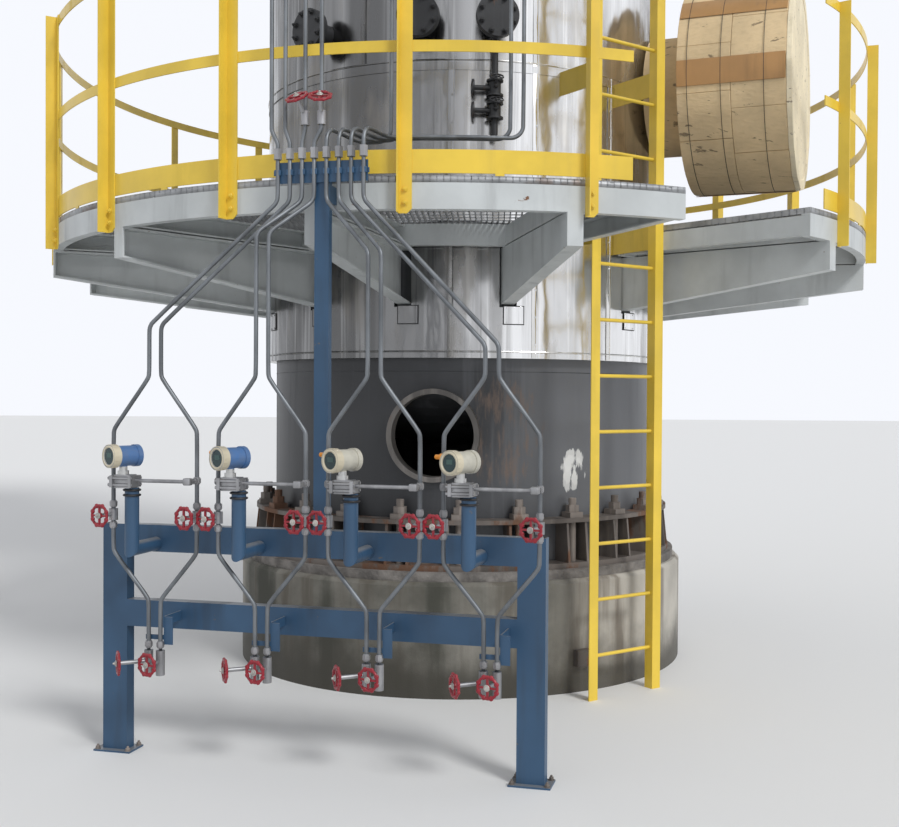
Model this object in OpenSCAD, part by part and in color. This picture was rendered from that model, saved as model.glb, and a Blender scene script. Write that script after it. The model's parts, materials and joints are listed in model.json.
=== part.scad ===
// Distillation column: skirt-supported vessel with a clad shell, ring platforms,
// an access ladder and an instrument stand fed by bent impulse tubes.
// Millimetres. The origin lies on the column's axis at ground level, +Z is up.
// An azimuth is counted from -Y (the instrument stand's side) towards +X.

/* [Vessel] */
// Outer radius of the skirt and of the vessel shell
vessel_r = 1195; // [900:5:1500]
// Plate thickness of the skirt
skirt_wall = 14; // [8:1:30]
// Plate thickness of the vessel shell
vessel_wall = 14; // [8:1:30]
// Thickness of the insulation with its metal cladding
insulation_t = 50; // [30:5:100]
// Height of the cladding's lower edge
clad_bottom_z = 1825; // [1700:5:2000]
// Height of the lower tangent line, where skirt and vessel meet
tangent_z = 1900; // [1850:10:2000]
// Height of the first lap seam of the cladding
first_lap_z = 3440; // [3200:10:3800]
// Height of the cladding between two lap seams
lap_pitch = 4200; // [3800:50:4600]
// Height of the upper tangent line, where the top head starts
top_z = 13600; // [13000:50:15000]
// Width of the lap band that closes a cladding seam
lap_band_h = 30; // [20:5:60]
// Thickness of the lap band
lap_band_t = 3; // [2:1:6]

/* [Foundation] */
// Width of the concrete pedestal outside the skirt
pedestal_margin = 205; // [185:5:500]
// Height of the concrete pedestal
pedestal_h = 620; // [300:10:900]
// Chamfer of the pedestal's upper edge
pedestal_edge = 20; // [10:1:25]
// Height of the grout bed
grout_h = 50; // [20:5:80]
// Width of the grout bed outside the skirt
grout_margin = 165; // [145:5:180]
// Width of the base ring outside the skirt
base_ring_out = 135; // [130:1:140]
// Width of the base ring inside the skirt's outside
base_ring_in = 90; // [60:5:150]
// Thickness of the base ring
base_ring_t = 30; // [20:2:50]
// Width of the chair ring outside the skirt
chair_out = 120; // [112:1:123]
// Clear height between base ring and chair ring
chair_h = 220; // [150:10:300]
// Thickness of the chair ring
chair_t = 24; // [16:2:40]
// Azimuth of the earthing lug on the pedestal
lug_phi = 29.5; // [0:0.5:60]
// Height of the earthing lug's lower edge
lug_z = 145; // [50:5:300]
// Side of the square earthing lug
lug_w = 92; // [60:2:120]
// Projection of the earthing lug
lug_out = 42; // [10:2:60]
// Number of anchor bolts
bolt_count = 24; // [12:4:28]
// Azimuth of the first anchor bolt
bolt_start = 1; // [0:1:10]
// Distance of the anchor bolts' circle outside the skirt
bolt_out = 63; // [57:1:67]
// Diameter of an anchor bolt
bolt_d = 42; // [30:1:48]
// Length of a bolt above its nut
bolt_end = 40; // [20:5:80]
// Side of the square washer plate
washer_side = 86; // [76:2:92]
// Thickness of the square washer plate
washer_t = 30; // [12:2:40]
// Height of an anchor nut
nut_h = 38; // [24:1:50]
// Clear distance between the two gussets of a chair
gusset_gap = 110; // [100:5:130]
// Thickness of a chair gusset
gusset_t = 14; // [8:1:24]

/* [Skirt opening] */
// Azimuth of the access opening
opening_phi = -6; // [-20:1:10]
// Height of the access opening's centre
opening_z = 1400; // [1350:5:1450]
// Inner diameter of the access opening
opening_d = 457; // [400:1:480]
// Wall of the opening's sleeve
sleeve_wall = 28; // [12:1:36]
// Projection of the sleeve in front of the skirt
sleeve_out = 45; // [20:5:80]
// Depth of the sleeve behind the skirt's outside
sleeve_in = 70; // [60:5:100]

/* [Platforms] */
// Height of the steel frame's top on the first platform
deck_z = 2541; // [2400:1:2700]
// Number of platforms
storeys = 3; // [1:1:3]
// Height from one platform to the next
storey_pitch = 4200; // [3800:50:4600]
// Width of a platform, from the inner ring's web to the outer ring's
deck_w = 1165; // [900:5:1400]
// Depth of the ring channels
ring_depth = 115; // [90:5:150]
// Flange width of the ring channels
ring_flange = 50; // [35:5:70]
// Plate thickness of the ring channels
ring_t = 8; // [5:1:12]
// Gap between the cladding and the inner ring channel's web
ring_gap = 85; // [65:5:120]
// Thickness of the grating
grating_t = 30; // [20:5:50]
// Azimuth of the deck's edge before the ladder gap
gap_start = 25.5; // [22:0.5:26.5]
// Azimuth of the deck's edge behind the ladder gap
gap_end = 45.5; // [45:0.5:47]
// Azimuth of the bracket before the ladder gap
bracket_phi = 13; // [10:0.5:16]
// Angle from one bracket to the next
bracket_step = 26.8; // [26:0.1:27]
// Number of brackets under a platform
brackets = 13; // [13:1:13]
// Height of a bracket at its outer end, below the ring
bracket_out_h = 148; // [100:2:220]
// Height of a bracket at the shell, below the ring
bracket_in_h = 311; // [260:5:400]
// Width of a bracket's flange
bracket_w = 74; // [50:2:100]
// Plate thickness of a bracket
bracket_t = 10; // [6:1:16]
// Gap between a bracket and the cladding's cut-out
cutout_gap = 12; // [6:1:20]

/* [Guard rails] */
// Azimuth of the first guard post, before the ladder gap
post_phi = 14.7; // [12:0.1:17]
// Angle from one post to the next
post_step = 18.9; // [18.8:0.01:19]
// Number of posts on a platform
posts = 18; // [18:1:18]
// Leg width of a post's angle section
post_leg = 60; // [40:5:75]
// Thickness of a post's angle section
post_t = 6; // [4:1:10]
// Height of the guard above the grating
guard_h = 1100; // [1000:10:1200]
// Width of the flat rails
rail_h = 50; // [40:5:65]
// Thickness of the rails and of the toe plate
rail_t = 6; // [4:1:10]
// Height of the middle rail's centre above the grating
mid_rail_h = 560; // [450:10:620]
// Height of the toe plate
toe_h = 103; // [90:1:150]
// Gap under the toe plate
toe_gap = 10; // [5:1:25]
// Width of a lug under the toe plate
toe_lug_w = 40; // [25:1:60]
// Angle that the rails run on past the last post
rail_over = 4.5; // [2:0.5:6]

/* [Ladder] */
// Azimuth of the ladder
ladder_phi = 36.2; // [35:0.1:37]
// Distance of the lower cleats' undersides below the deck frame's top
cleat_down = 41; // [30:1:60]
// Distance of the upper cleats' undersides above the deck frame's top
cleat_up = 804; // [700:1:900]
// Distance of the ladder's rungs from the cladding
ladder_gap = 300; // [250:5:400]
// Clear width between the stiles
ladder_w = 400; // [350:5:420]
// Leg width of a stile's angle section
stile_leg = 60; // [40:5:70]
// Thickness of a stile's angle section
stile_t = 6; // [5:1:10]
// Diameter of a rung
rung_d = 20; // [16:1:28]
// Height of the lowest rung
rung_first = 230; // [200:10:300]
// Height from one rung to the next
rung_pitch = 300; // [250:10:320]
// Height of a cleat plate
cleat_h = 130; // [80:5:160]
// Thickness of a cleat plate
cleat_t = 8; // [6:1:14]
// Radius of a cage hoop
cage_r = 350; // [330:5:370]
// Distance from the rungs to the centre of a hoop's round part
cage_reach = 360; // [300:10:420]
// Height from a deck to the lowest hoop of the cage over it
cage_start = 2200; // [2100:50:2600]
// Height of the cage's hoop bars
hoop_h = 60; // [40:5:80]
// Thickness of the cage's bars
cage_t = 6; // [5:1:10]

/* [Manways and nozzles] */
// Azimuth of the insulated manways
manway_phi = 70; // [68:1:74]
// Height of a manway's centre above its deck frame
manway_up = 900; // [850:10:950]
// Radius of a manway's insulation box
manway_r = 600; // [500:10:640]
// Radius of the insulated manway neck
manway_neck_r = 350; // [300:10:450]
// Distance of the insulation box from the cladding
manway_gap = 255; // [150:5:350]
// Length of the insulation box
manway_l = 630; // [500:10:700]
// Thickness of the end rim of the insulation
manway_rim = 30; // [15:1:60]
// Azimuths of the instrument nozzles
nozzle_phis = [-37, -8.8, 8.9]; // each [-45:0.1:12]
// Height of the instrument nozzles above their deck frame
nozzle_up = 1100; // [1000:10:1200]
// Outer diameter of an instrument nozzle's neck
nozzle_d = 114; // [80:1:140]
// Outer diameter of its flanges
nozzle_flange_d = 229; // [180:1:260]
// Thickness of one flange
nozzle_flange_t = 24; // [16:1:32]
// Length of an instrument nozzle outside the cladding
nozzle_l = 155; // [110:5:200]
// Outer diameter of the drop leg under the last instrument nozzle
leg_d = 34; // [27:1:48]
// Length of the drop leg under the nozzle
leg_l = 640; // [560:10:700]
// Outer diameter of the vapour nozzle
vapour_d = 406; // [300:1:500]
// Wall of the vapour nozzle
vapour_wall = 12; // [8:1:20]
// Height of the vapour nozzle above the head
vapour_h = 300; // [200:10:500]
// Outer diameter of the vapour nozzle's flange
vapour_flange_d = 597; // [560:1:640]
// Thickness of the vapour nozzle's flange
vapour_flange_t = 37; // [25:1:50]

/* [Instrument stand] */
// Azimuth at which the riser stands in front of the first platform
riser_phi = -12; // [-20:0.5:-5]
// Distance of the riser's face from the outer ring channel
stand_gap = 91; // [75:1:150]
// Turn of the stand about a vertical
stand_turn = -13.4; // [-16:0.1:-11]
// Distance between the centres of the two legs
stand_w = 1922; // [1850:1:2100]
// Height of the stand's top
stand_h = 1030; // [950:5:1100]
// Height of the lower beam's top
low_beam_z = 690; // [600:5:750]
// Depth of the stand's channels
channel_w = 120; // [100:5:150]
// Flange width of the stand's channels
channel_f = 60; // [45:5:75]
// Plate thickness of the stand's channels
channel_t = 7; // [5:1:10]
// Margin of a foot plate round its leg
foot_margin = 30; // [10:5:60]
// Thickness of a foot plate
foot_t = 8; // [6:1:20]
// Distance of the first transmitter station from the left leg
station_first = 285; // [250:5:300]
// Distance from one station to the next
station_pitch = 500; // [450:5:520]
// Number of transmitter stations
stations = 4; // [2:1:4]
// Outer diameter of a stanchion pipe
stanchion_d = 60.3; // [48:0.1:76]
// Distance of a stanchion in front of the beam
stanchion_out = 200; // [160:5:240]
// Distance of a stanchion left of its station's middle
stanchion_left = 80; // [60:5:100]
// Height of a stanchion's stub
stub_z = 947; // [930:1:960]
// Height of a stanchion's top
stanchion_top = 1213; // [1150:1:1260]
// Width of the flat bars that hold the tubes under the lower beam
tube_bar_w = 41; // [30:1:50]
// Thickness of these bars
tube_bar_t = 6; // [4:1:10]
// Place of the riser along the stand
riser_x = 990; // [960:5:1020]
// Width of the riser
riser_w = 66; // [50:2:80]
// Depth of the riser's flanges
riser_f = 36; // [25:1:45]
// Plate thickness of the riser
riser_t = 6; // [4:1:10]
// Height of the block that holds the riser to the ring channel
block_h = 75; // [50:5:100]
// Height of the riser's top
riser_top = 2620; // [2560:5:2680]

/* [Impulse tubes] */
// Outer diameter of an impulse tube
tube_d = 20; // [12:1:26]
// Inner bend radius at the tube's centre line
tube_bend_r = 60; // [40:5:80]
// Distance between tubes at the clamp
clamp_pitch = 56; // [40:1:60]
// Height at which the tubes spread
fan_z = 2450; // [2420:5:2480]
// Height at which a pair spreads round its transmitter
split_z = 1690; // [1600:5:1750]
// Height at which a pair hangs straight beside its transmitter
run_top = 1460; // [1420:5:1500]
// Height at which a pair closes again
run_bottom = 930; // [900:5:960]
// Height at which a pair hangs straight to its drain valves
low_z = 725; // [700:5:760]
// Height of a tube's lower end
tube_end_z = 505; // [490:5:540]
// Half the distance between the tubes of a closed pair
pair_half = 28; // [20:1:40]
// Half the distance between the tubes of an open pair
run_half = 200; // [180:5:220]
// Distance of the tubes in front of the stand
tube_out = 150; // [130:5:170]
// Shortest height of the left tubes' sideways step above the clamp
step_rise = 60; // [50:5:100]
// Bend radius of these steps
step_bend_r = 45; // [40:5:60]
// Height at which the right tubes curl over the toe plate
curl_z = 2762; // [2740:1:2800]
// Distance between the lanes of the curled tubes
lane_pitch = 30; // [26:1:40]
// Clearance of the outermost lane inside the rails
lane_gap = 80; // [60:5:120]
// Height above the first deck at which the tubes cross to the column
cross_up = 2200; // [2100:50:2400]
// Width across the flats of a tube union
union_w = 32; // [28:1:40]
// Length of a tube union
union_l = 46; // [30:2:60]

/* [Transmitters] */
// Height of a transmitter's housing
housing_z = 1350; // [1330:5:1400]
// Diameter of the housing's barrel
housing_d = 88; // [70:1:110]
// Length of the barrel between its caps
housing_l = 96; // [80:2:120]
// Length of a screwed cap
cap_l = 22; // [16:1:30]
// Height of a cap's rim over the barrel
cap_rise = 4; // [2:1:8]
// Diameter of the cable gland
gland_d = 26; // [20:1:34]
// Length of the cable gland
gland_l = 48; // [30:2:60]
// Diameter of the neck
neck_d = 34; // [28:1:44]
// Turn of the housings towards the left
housing_turn = 26; // [0:1:45]
// Distance of a housing left of its station's middle
housing_left = 110; // [90:5:130]
// Height of the manifold block
manifold_h = 57; // [50:1:70]
// Width of the manifold block
manifold_w = 74; // [60:2:90]
// Depth of the manifold block
manifold_d = 60; // [50:2:80]
// Thickness of the flanges at the manifold's sides
manifold_flange_t = 14; // [10:1:20]
// Diameter of the tube from a manifold to its right run
cross_tube_d = 16; // [12:1:20]

/* [Valves] */
// Diameter of a handwheel
wheel_d = 100; // [70:2:120]
// Thickness of a handwheel's rim
wheel_rim = 12; // [8:1:16]
// Length of a handwheel's hub
wheel_hub = 14; // [10:1:20]
// Diameter of a handwheel's hub
wheel_hub_d = 24; // [18:1:34]
// Width of a handwheel's spoke
spoke_w = 8; // [5:1:12]
// Length of an isolation valve's stem from the tube's centre line
stem_l = 72; // [60:2:100]
// Length of a left drain valve's stem
long_stem = 120; // [100:5:150]
// Turn of the stems towards the left
run_stem_turn = 15; // [0:1:30]
// Turn of a left drain valve's stem
long_stem_turn = 52; // [40:1:60]
// Diameter of a valve's body
valve_d = 38; // [32:1:50]
// Length of an isolation valve's body
valve_h = 50; // [40:2:80]
// Diameter of a valve's bonnet
bonnet_d = 18; // [14:1:26]
// Length of a drain valve's body below its stem
drain_below = 60; // [30:2:80]
// Height of the isolation valves
valve_z = 1090; // [1060:5:1120]
// Height of the drain valves
drain_z = 457; // [440:1:480]
// Height of the two valves above the clamp
upper_valve_z = 2804; // [2800:1:2900]
// Height of these valves' bodies
upper_valve_h = 60; // [50:2:80]
// Length of these valves' stems
upper_stem_l = 90; // [88:1:120]
// Rise of these valves' stems
upper_stem_rise = 54; // [40:1:56]
// Turn of these valves' stems away from each other
upper_stem_turn = 15; // [14:1:30]

/* [Hidden] */

$fn = 96;
eps = 0.01;
seat = 0.2;
clad_r = vessel_r + insulation_t;
pedestal_r = vessel_r + pedestal_margin;
grout_r = vessel_r + grout_margin;
base_ring_r = vessel_r + base_ring_out;
chair_r = vessel_r + chair_out;
bolt_circle_r = vessel_r + bolt_out;
inner_ring_r = clad_r + ring_gap;
ring_r = inner_ring_r + deck_w;
ladder_r = clad_r + ladder_gap;
manway_start = clad_r + manway_gap;
manway_end = manway_start + manway_l;
nozzle_face_r = clad_r + nozzle_l;
base_top = pedestal_h + grout_h + base_ring_t;
chair_top = base_top + chair_h + chair_t;
grate_top = deck_z + grating_t;
deck_arc = 360 - (gap_end - gap_start);
head_h = vessel_r / 2;
// Parts of one piece reach this far into each other where they are welded
weld = 1;
// The rails reach this far into the flat faces of the posts, where they are welded
rail_weld = 0.4;
// The arc that the rails cover, and the azimuth where they begin behind the ladder gap
rail_arc = (posts - 1) * post_step + 2 * rail_over;
rail_phi = post_phi + rail_over - rail_arc;
ladder_top = deck_z + (storeys - 1) * storey_pitch + grating_t + guard_h;
rung_count = floor((ladder_top - rung_first) / rung_pitch) + 1;
cleat_levels = [for (k = [0 : storeys - 1]) for (up = [-cleat_down, cleat_up])
    deck_z + k * storey_pitch + up];
clamp_w = (2 * stations - 1) * clamp_pitch + 30;
// The column's axis in the stand's coordinates
axis_x = riser_x + (ring_r + stand_gap) * sin(stand_turn - riser_phi);
axis_y = (ring_r + stand_gap) * cos(riser_phi - stand_turn);
cross_z = grate_top + cross_up;
// The tubes lie on the clamp plate's face
clamp_t = 8;
clamp_h = 90;
clamp_y = -clamp_t - tube_d / 2;
// Sideways steps of the left tubes above the clamp
up_steps = [-30, -22, 14, 33];
// Azimuths at which the right tubes turn up
up_phis = [-6.6, -5.3, 6.7, 8];
// Height of the unions above the clamp, where the lower and the upper lengths of a tube meet
butt_z = riser_top + 0.75 * union_l;

// Turns its children so that their +X points to an azimuth
module at(phi) {
    rotate([0, 0, phi - 90]) children();
}

// Repeats its children on every platform's level
module each_storey() {
    for (k = [0 : storeys - 1])
        translate([0, 0, k * storey_pitch]) children();
}

// A hollow round wall between two heights
module tube(outer, inner, z0, z1) {
    translate([0, 0, z0])
        difference() {
            cylinder(r = outer, h = z1 - z0);
            translate([0, 0, -1]) cylinder(r = inner, h = z1 - z0 + 2);
        }
}

// A ring sector with a rectangular section, from one azimuth over an arc
module sector(phi, arc, r0, r1, z0, z1) {
    at(phi)
        rotate_extrude(angle = arc, $fn = 240)
            translate([r0, z0]) square([r1 - r0, z1 - z0]);
}

// The outline of a channel section with its web at x = 0, flanges to +X
module channel_outline(depth, flange, t) {
    polygon([[0, 0], [flange, 0], [flange, t], [t, t], [t, depth - t],
        [flange, depth - t], [flange, depth], [0, depth]]);
}

// A ring channel: its web stands at radius r, side -1 turns the flanges inward
module ring_channel(phi, arc, r, side, z0) {
    at(phi)
        rotate_extrude(angle = arc, $fn = 240)
            translate([r, z0])
                mirror([side < 0 ? 1 : 0, 0]) channel_outline(ring_depth, ring_flange, ring_t);
}

// A bar with an angle section standing on z = 0, its corner on the origin
module angle_bar(leg, t, h) {
    linear_extrude(height = h)
        polygon([[0, 0], [leg, 0], [leg, t], [t, t], [t, leg], [0, leg]]);
}

// Concrete pedestal with a chamfered upper edge
module pedestal() {
    color("gainsboro")
        rotate_extrude()
            polygon([[0, 0], [pedestal_r, 0], [pedestal_r, pedestal_h - pedestal_edge],
                [pedestal_r - pedestal_edge, pedestal_h], [0, pedestal_h]]);
}

module earthing_lug() {
    color("dimgray")
        difference() {
            at(lug_phi)
                translate([vessel_r, -lug_w / 2, lug_z])
                    cube([pedestal_margin + lug_out, lug_w, lug_w]);
            cylinder(r = pedestal_r + seat, h = pedestal_h, $fn = 360);
        }
}

module grout_bed() {
    color("darkgray")
        tube(grout_r, vessel_r - base_ring_in - 20, pedestal_h, pedestal_h + grout_h);
}

module bolt_holes(z0, z1) {
    for (i = [0 : bolt_count - 1])
        at(bolt_start + i * 360 / bolt_count)
            translate([bolt_circle_r, 0, z0]) cylinder(d = bolt_d + 6, h = z1 - z0, $fn = 32);
}

module base_ring() {
    color("dimgray")
        difference() {
            tube(base_ring_r, vessel_r - base_ring_in, pedestal_h + grout_h, base_top);
            bolt_holes(pedestal_h, base_top + 1);
        }
}

module chair_ring() {
    color("dimgray")
        difference() {
            tube(chair_r, vessel_r, base_top + chair_h, chair_top);
            bolt_holes(base_top + 1, chair_top + 1);
        }
}

// Two gussets stand beside each bolt, their outer edge leaning out to the base ring
module chair_gussets() {
    color("dimgray")
        difference() {
            for (i = [0 : bolt_count - 1])
                at(bolt_start + i * 360 / bolt_count)
                    for (side = [-1, 1])
                        translate([0, side * (gusset_gap + gusset_t) / 2 + gusset_t / 2, 0])
                            rotate([90, 0, 0])
                                linear_extrude(height = gusset_t)
                                    polygon([[vessel_r - 20, base_top], [base_ring_r - 4, base_top],
                                        [chair_r - 12, base_top + chair_h],
                                        [vessel_r - 20, base_top + chair_h]]);
            cylinder(r = vessel_r + seat, h = chair_top, $fn = 360);
        }
}

// Each anchor bolt comes out of the grout and carries a washer plate and a nut
module anchor_bolts() {
    color("rosybrown")
        for (i = [0 : bolt_count - 1])
            at(bolt_start + i * 360 / bolt_count)
                translate([bolt_circle_r, 0, 0]) {
                    translate([0, 0, pedestal_h + grout_h])
                        cylinder(d = bolt_d, h = chair_top + washer_t + nut_h + bolt_end - pedestal_h - grout_h,
                            $fn = 32);
                    translate([-washer_side / 2, -washer_side / 2, chair_top])
                        cube([washer_side, washer_side, washer_t]);
                    translate([0, 0, chair_top + washer_t])
                        cylinder(d = bolt_d * 1.75, h = nut_h, $fn = 6);
                }
}

// The hole through a curved wall along an azimuth
module radial_hole(phi, z, d, r0, r1) {
    at(phi)
        translate([r0, 0, z])
            rotate([0, 90, 0]) cylinder(d = d, h = r1 - r0);
}

module skirt() {
    color("slategray")
        difference() {
            tube(vessel_r, vessel_r - skirt_wall, base_top, tangent_z);
            radial_hole(opening_phi, opening_z, opening_d + 2 * sleeve_wall,
                vessel_r - 2 * sleeve_in, vessel_r + 2 * sleeve_out);
        }
}

module access_sleeve() {
    color("darkslategray")
        difference() {
            radial_hole(opening_phi, opening_z, opening_d + 2 * sleeve_wall,
                vessel_r - sleeve_in, vessel_r + sleeve_out);
            radial_hole(opening_phi, opening_z, opening_d,
                vessel_r - 2 * sleeve_in, vessel_r + 2 * sleeve_out);
        }
}

// Points of a quarter of a 2:1 elliptical head, from its rim to its crown
function head_points(r, h) = [for (a = [0 : 6 : 90]) [r * cos(a), h * sin(a)]];

// An elliptical head shell that opens downwards, with its rim at z = 0
module head_shell(r, h, t) {
    rotate_extrude()
        polygon(concat(head_points(r, h),
            [for (p = [len(head_points(r, h)) - 1 : -1 : 0])
                [head_points(r - t, h - t)[p][0], head_points(r - t, h - t)[p][1]]]));
}

// Dished bottom head, standing inside the skirt
module bottom_head() {
    color("dimgray")
        translate([0, 0, tangent_z])
            mirror([0, 0, 1]) head_shell(vessel_r - skirt_wall, head_h, vessel_wall);
}

module vessel_shell() {
    color("dimgray")
        tube(vessel_r, vessel_r - vessel_wall, tangent_z, top_z);
}

// Cut-outs in the cladding through which the brackets reach the shell
module bracket_cutouts(z) {
    for (i = [0 : brackets - 1])
        at(bracket_phi - i * bracket_step)
            translate([vessel_r - 20, -bracket_w / 2 - cutout_gap, z - ring_depth - bracket_in_h - cutout_gap])
                cube([insulation_t + 60, bracket_w + 2 * cutout_gap,
                    ring_depth + bracket_in_h + 2 * cutout_gap]);
}

// One length of insulation and cladding, with a lap band at its upper edge
module cladding(z0, z1, cut_z) {
    difference() {
        union() {
            tube(clad_r, vessel_r, z0, z1);
            tube(clad_r + lap_band_t, clad_r - 1, z1 - lap_band_h, z1);
        }
        bracket_cutouts(cut_z);
    }
}

module cladding_base() {
    color("silver") cladding(clad_bottom_z, first_lap_z, deck_z);
}

module cladding_lower() {
    color("silver") cladding(first_lap_z, first_lap_z + lap_pitch, deck_z + storey_pitch);
}

module cladding_middle() {
    color("silver")
        cladding(first_lap_z + lap_pitch, first_lap_z + 2 * lap_pitch, deck_z + 2 * storey_pitch);
}

module cladding_upper() {
    color("silver")
        tube(clad_r, vessel_r, first_lap_z + 2 * lap_pitch, top_z);
}

// Insulated elliptical top head with the hole of the vapour nozzle
module top_head() {
    color("silver")
        translate([0, 0, top_z])
            difference() {
                head_shell(clad_r, head_h + insulation_t, insulation_t + vessel_wall);
                translate([0, 0, head_h / 2]) cylinder(d = vapour_d, h = head_h);
            }
}

module vapour_nozzle() {
    color("dimgray")
        translate([0, 0, top_z + head_h - 40])
            difference() {
                union() {
                    cylinder(d = vapour_d, h = vapour_h + 90);
                    translate([0, 0, vapour_h + 90 - vapour_flange_t])
                        cylinder(d = vapour_flange_d, h = vapour_flange_t);
                }
                translate([0, 0, -10]) cylinder(d = vapour_d - 2 * vapour_wall, h = vapour_h + 200);
            }
}

// A tapered bracket: web on one side, sloping bottom flange, end plate and shell pad
module bracket() {
    z1 = deck_z - ring_depth;
    z_out = z1 - bracket_out_h;
    z_in = z1 - bracket_in_h;
    web = [[vessel_r, z1], [ring_r - bracket_t, z1], [ring_r - bracket_t, z_out], [vessel_r, z_in]];
    low = [[vessel_r, z_in], [ring_r - bracket_t, z_out],
        [ring_r - bracket_t, z_out + bracket_t], [vessel_r, z_in + bracket_t]];
    translate([0, -bracket_w / 2 + bracket_t, 0])
        rotate([90, 0, 0]) linear_extrude(height = bracket_t) polygon(web);
    translate([0, bracket_w / 2, 0])
        rotate([90, 0, 0]) linear_extrude(height = bracket_w) polygon(low);
    translate([ring_r - bracket_t, -bracket_w / 2, z_out])
        cube([bracket_t, bracket_w, bracket_out_h]);
    translate([vessel_r, -bracket_w / 2, z1 - bracket_t])
        cube([ring_r - vessel_r, bracket_w, bracket_t]);
}

module platform_brackets() {
    color("lightgray")
        each_storey()
            for (i = [0 : brackets - 1])
                at(bracket_phi - i * bracket_step) bracket();
}

// A radial channel welded between the rings' webs and flanges, at angle 0, its web at y = 0
module radial_channel(flange) {
    translate([inner_ring_r - weld, 0, deck_z - ring_depth + ring_t - weld])
        rotate([90, 0, 90])
            linear_extrude(height = deck_w - ring_t + 2 * weld)
                channel_outline(ring_depth - 2 * (ring_t - weld), flange, ring_t);
}

// Ring channels, radial channels over the brackets and one at each edge of the ladder gap
module platform_frame() {
    ring_channel(gap_end, deck_arc, ring_r, -1, deck_z - ring_depth);
    ring_channel(gap_end, deck_arc, inner_ring_r, -1, deck_z - ring_depth);
    for (i = [0 : brackets - 1])
        at(bracket_phi - i * bracket_step) translate([0, -bracket_w / 2, 0]) radial_channel(bracket_w);
    at(gap_start) mirror([0, 1, 0]) translate([0, weld, 0]) radial_channel(ring_flange);
    at(gap_end) translate([0, weld, 0]) radial_channel(ring_flange);
}

module platform_1_frame() {
    color("lightgray") platform_frame();
}

module platform_2_frame() {
    color("lightgray") translate([0, 0, storey_pitch]) platform_frame();
}

module platform_3_frame() {
    color("lightgray") translate([0, 0, 2 * storey_pitch]) platform_frame();
}

module platform_deck() {
    sector(gap_end, deck_arc, inner_ring_r - ring_flange, ring_r, deck_z, grate_top);
}

module platform_1_deck() {
    color("darkgray") platform_deck();
}

module platform_2_deck() {
    color("darkgray") translate([0, 0, storey_pitch]) platform_deck();
}

module platform_3_deck() {
    color("darkgray") translate([0, 0, 2 * storey_pitch]) platform_deck();
}

// The toe plate stands on a small lug between each two posts
module toe_plate() {
    sector(rail_phi, rail_arc, ring_r - rail_t, ring_r, grate_top + toe_gap,
        grate_top + toe_gap + toe_h);
    for (i = [0 : posts - 2])
        at(post_phi - (i + 0.5) * post_step)
            translate([ring_r - rail_t, -toe_lug_w / 2, grate_top]) cube([rail_t, toe_lug_w, toe_gap + weld]);
}

module platform_1_toe_plate() {
    color("gold") toe_plate();
}

module platform_2_toe_plate() {
    color("gold") translate([0, 0, storey_pitch]) toe_plate();
}

module platform_3_toe_plate() {
    color("gold") translate([0, 0, 2 * storey_pitch]) toe_plate();
}

// A post is an angle bolted to the ring channel, with a bevelled foot
module guard_post() {
    z0 = deck_z - ring_depth - 20;
    translate([ring_r, -post_leg / 2, z0])
        difference() {
            angle_bar(post_leg, post_t, grate_top + guard_h - z0);
            translate([-1, post_leg, -1])
                rotate([45, 0, 0]) cube([post_leg + 2, 30, 30], center = true);
        }
}

module guard() {
    for (i = [0 : posts - 1])
        at(post_phi - i * post_step) guard_post();
    for (z = [grate_top + mid_rail_h - rail_h / 2, grate_top + guard_h - rail_h])
        sector(rail_phi, rail_arc, ring_r - rail_t, ring_r + rail_weld, z, z + rail_h);
}

module platform_1_guard() {
    color("gold") guard();
}

module platform_2_guard() {
    color("gold") translate([0, 0, storey_pitch]) guard();
}

module platform_3_guard() {
    color("gold") translate([0, 0, 2 * storey_pitch]) guard();
}

// Two angle stiles stand on the ground, the rungs are let in between them
module ladder() {
    color("gold")
        at(ladder_phi)
            translate([ladder_r, 0, 0]) {
                for (side = [-1, 1])
                    translate([stile_leg / 2, side * ladder_w / 2, 0])
                        mirror([0, side < 0 ? 1 : 0, 0])
                            rotate([0, 0, 90]) angle_bar(stile_leg, stile_t, ladder_top);
                for (i = [0 : rung_count - 1])
                    translate([0, -ladder_w / 2 - eps, rung_first + i * rung_pitch])
                        rotate([-90, 0, 0]) cylinder(d = rung_d, h = ladder_w + 2 * eps, $fn = 24);
            }
}

// Plates between the cladding and the backs of the stiles
module ladder_cleats() {
    color("goldenrod")
        difference() {
            at(ladder_phi)
                for (z = cleat_levels)
                    for (side = [-1, 1])
                        translate([vessel_r, side * ladder_w / 2 - (side < 0 ? cleat_t : 0), z - cleat_h / 2])
                            cube([ladder_r - vessel_r - stile_leg / 2, cleat_t, cleat_h]);
            cylinder(r = clad_r + seat, h = ladder_top, $fn = 720);
        }
}

// A U-shaped hoop, bolted to the front of both stiles
module hoop() {
    x0 = stile_leg / 2;
    translate([cage_reach, 0, 0])
        rotate([0, 0, -90])
            rotate_extrude(angle = 180) translate([cage_r - cage_t, 0]) square([cage_t, hoop_h]);
    for (side = [-1, 1]) {
        translate([x0, side * (cage_r - cage_t / 2) - cage_t / 2, 0])
            cube([cage_reach - x0 + eps, cage_t, hoop_h]);
        translate([x0, side < 0 ? -cage_r : ladder_w / 2 + 5, 0])
            cube([cage_t, cage_r - ladder_w / 2 - 5, hoop_h]);
    }
}

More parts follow.
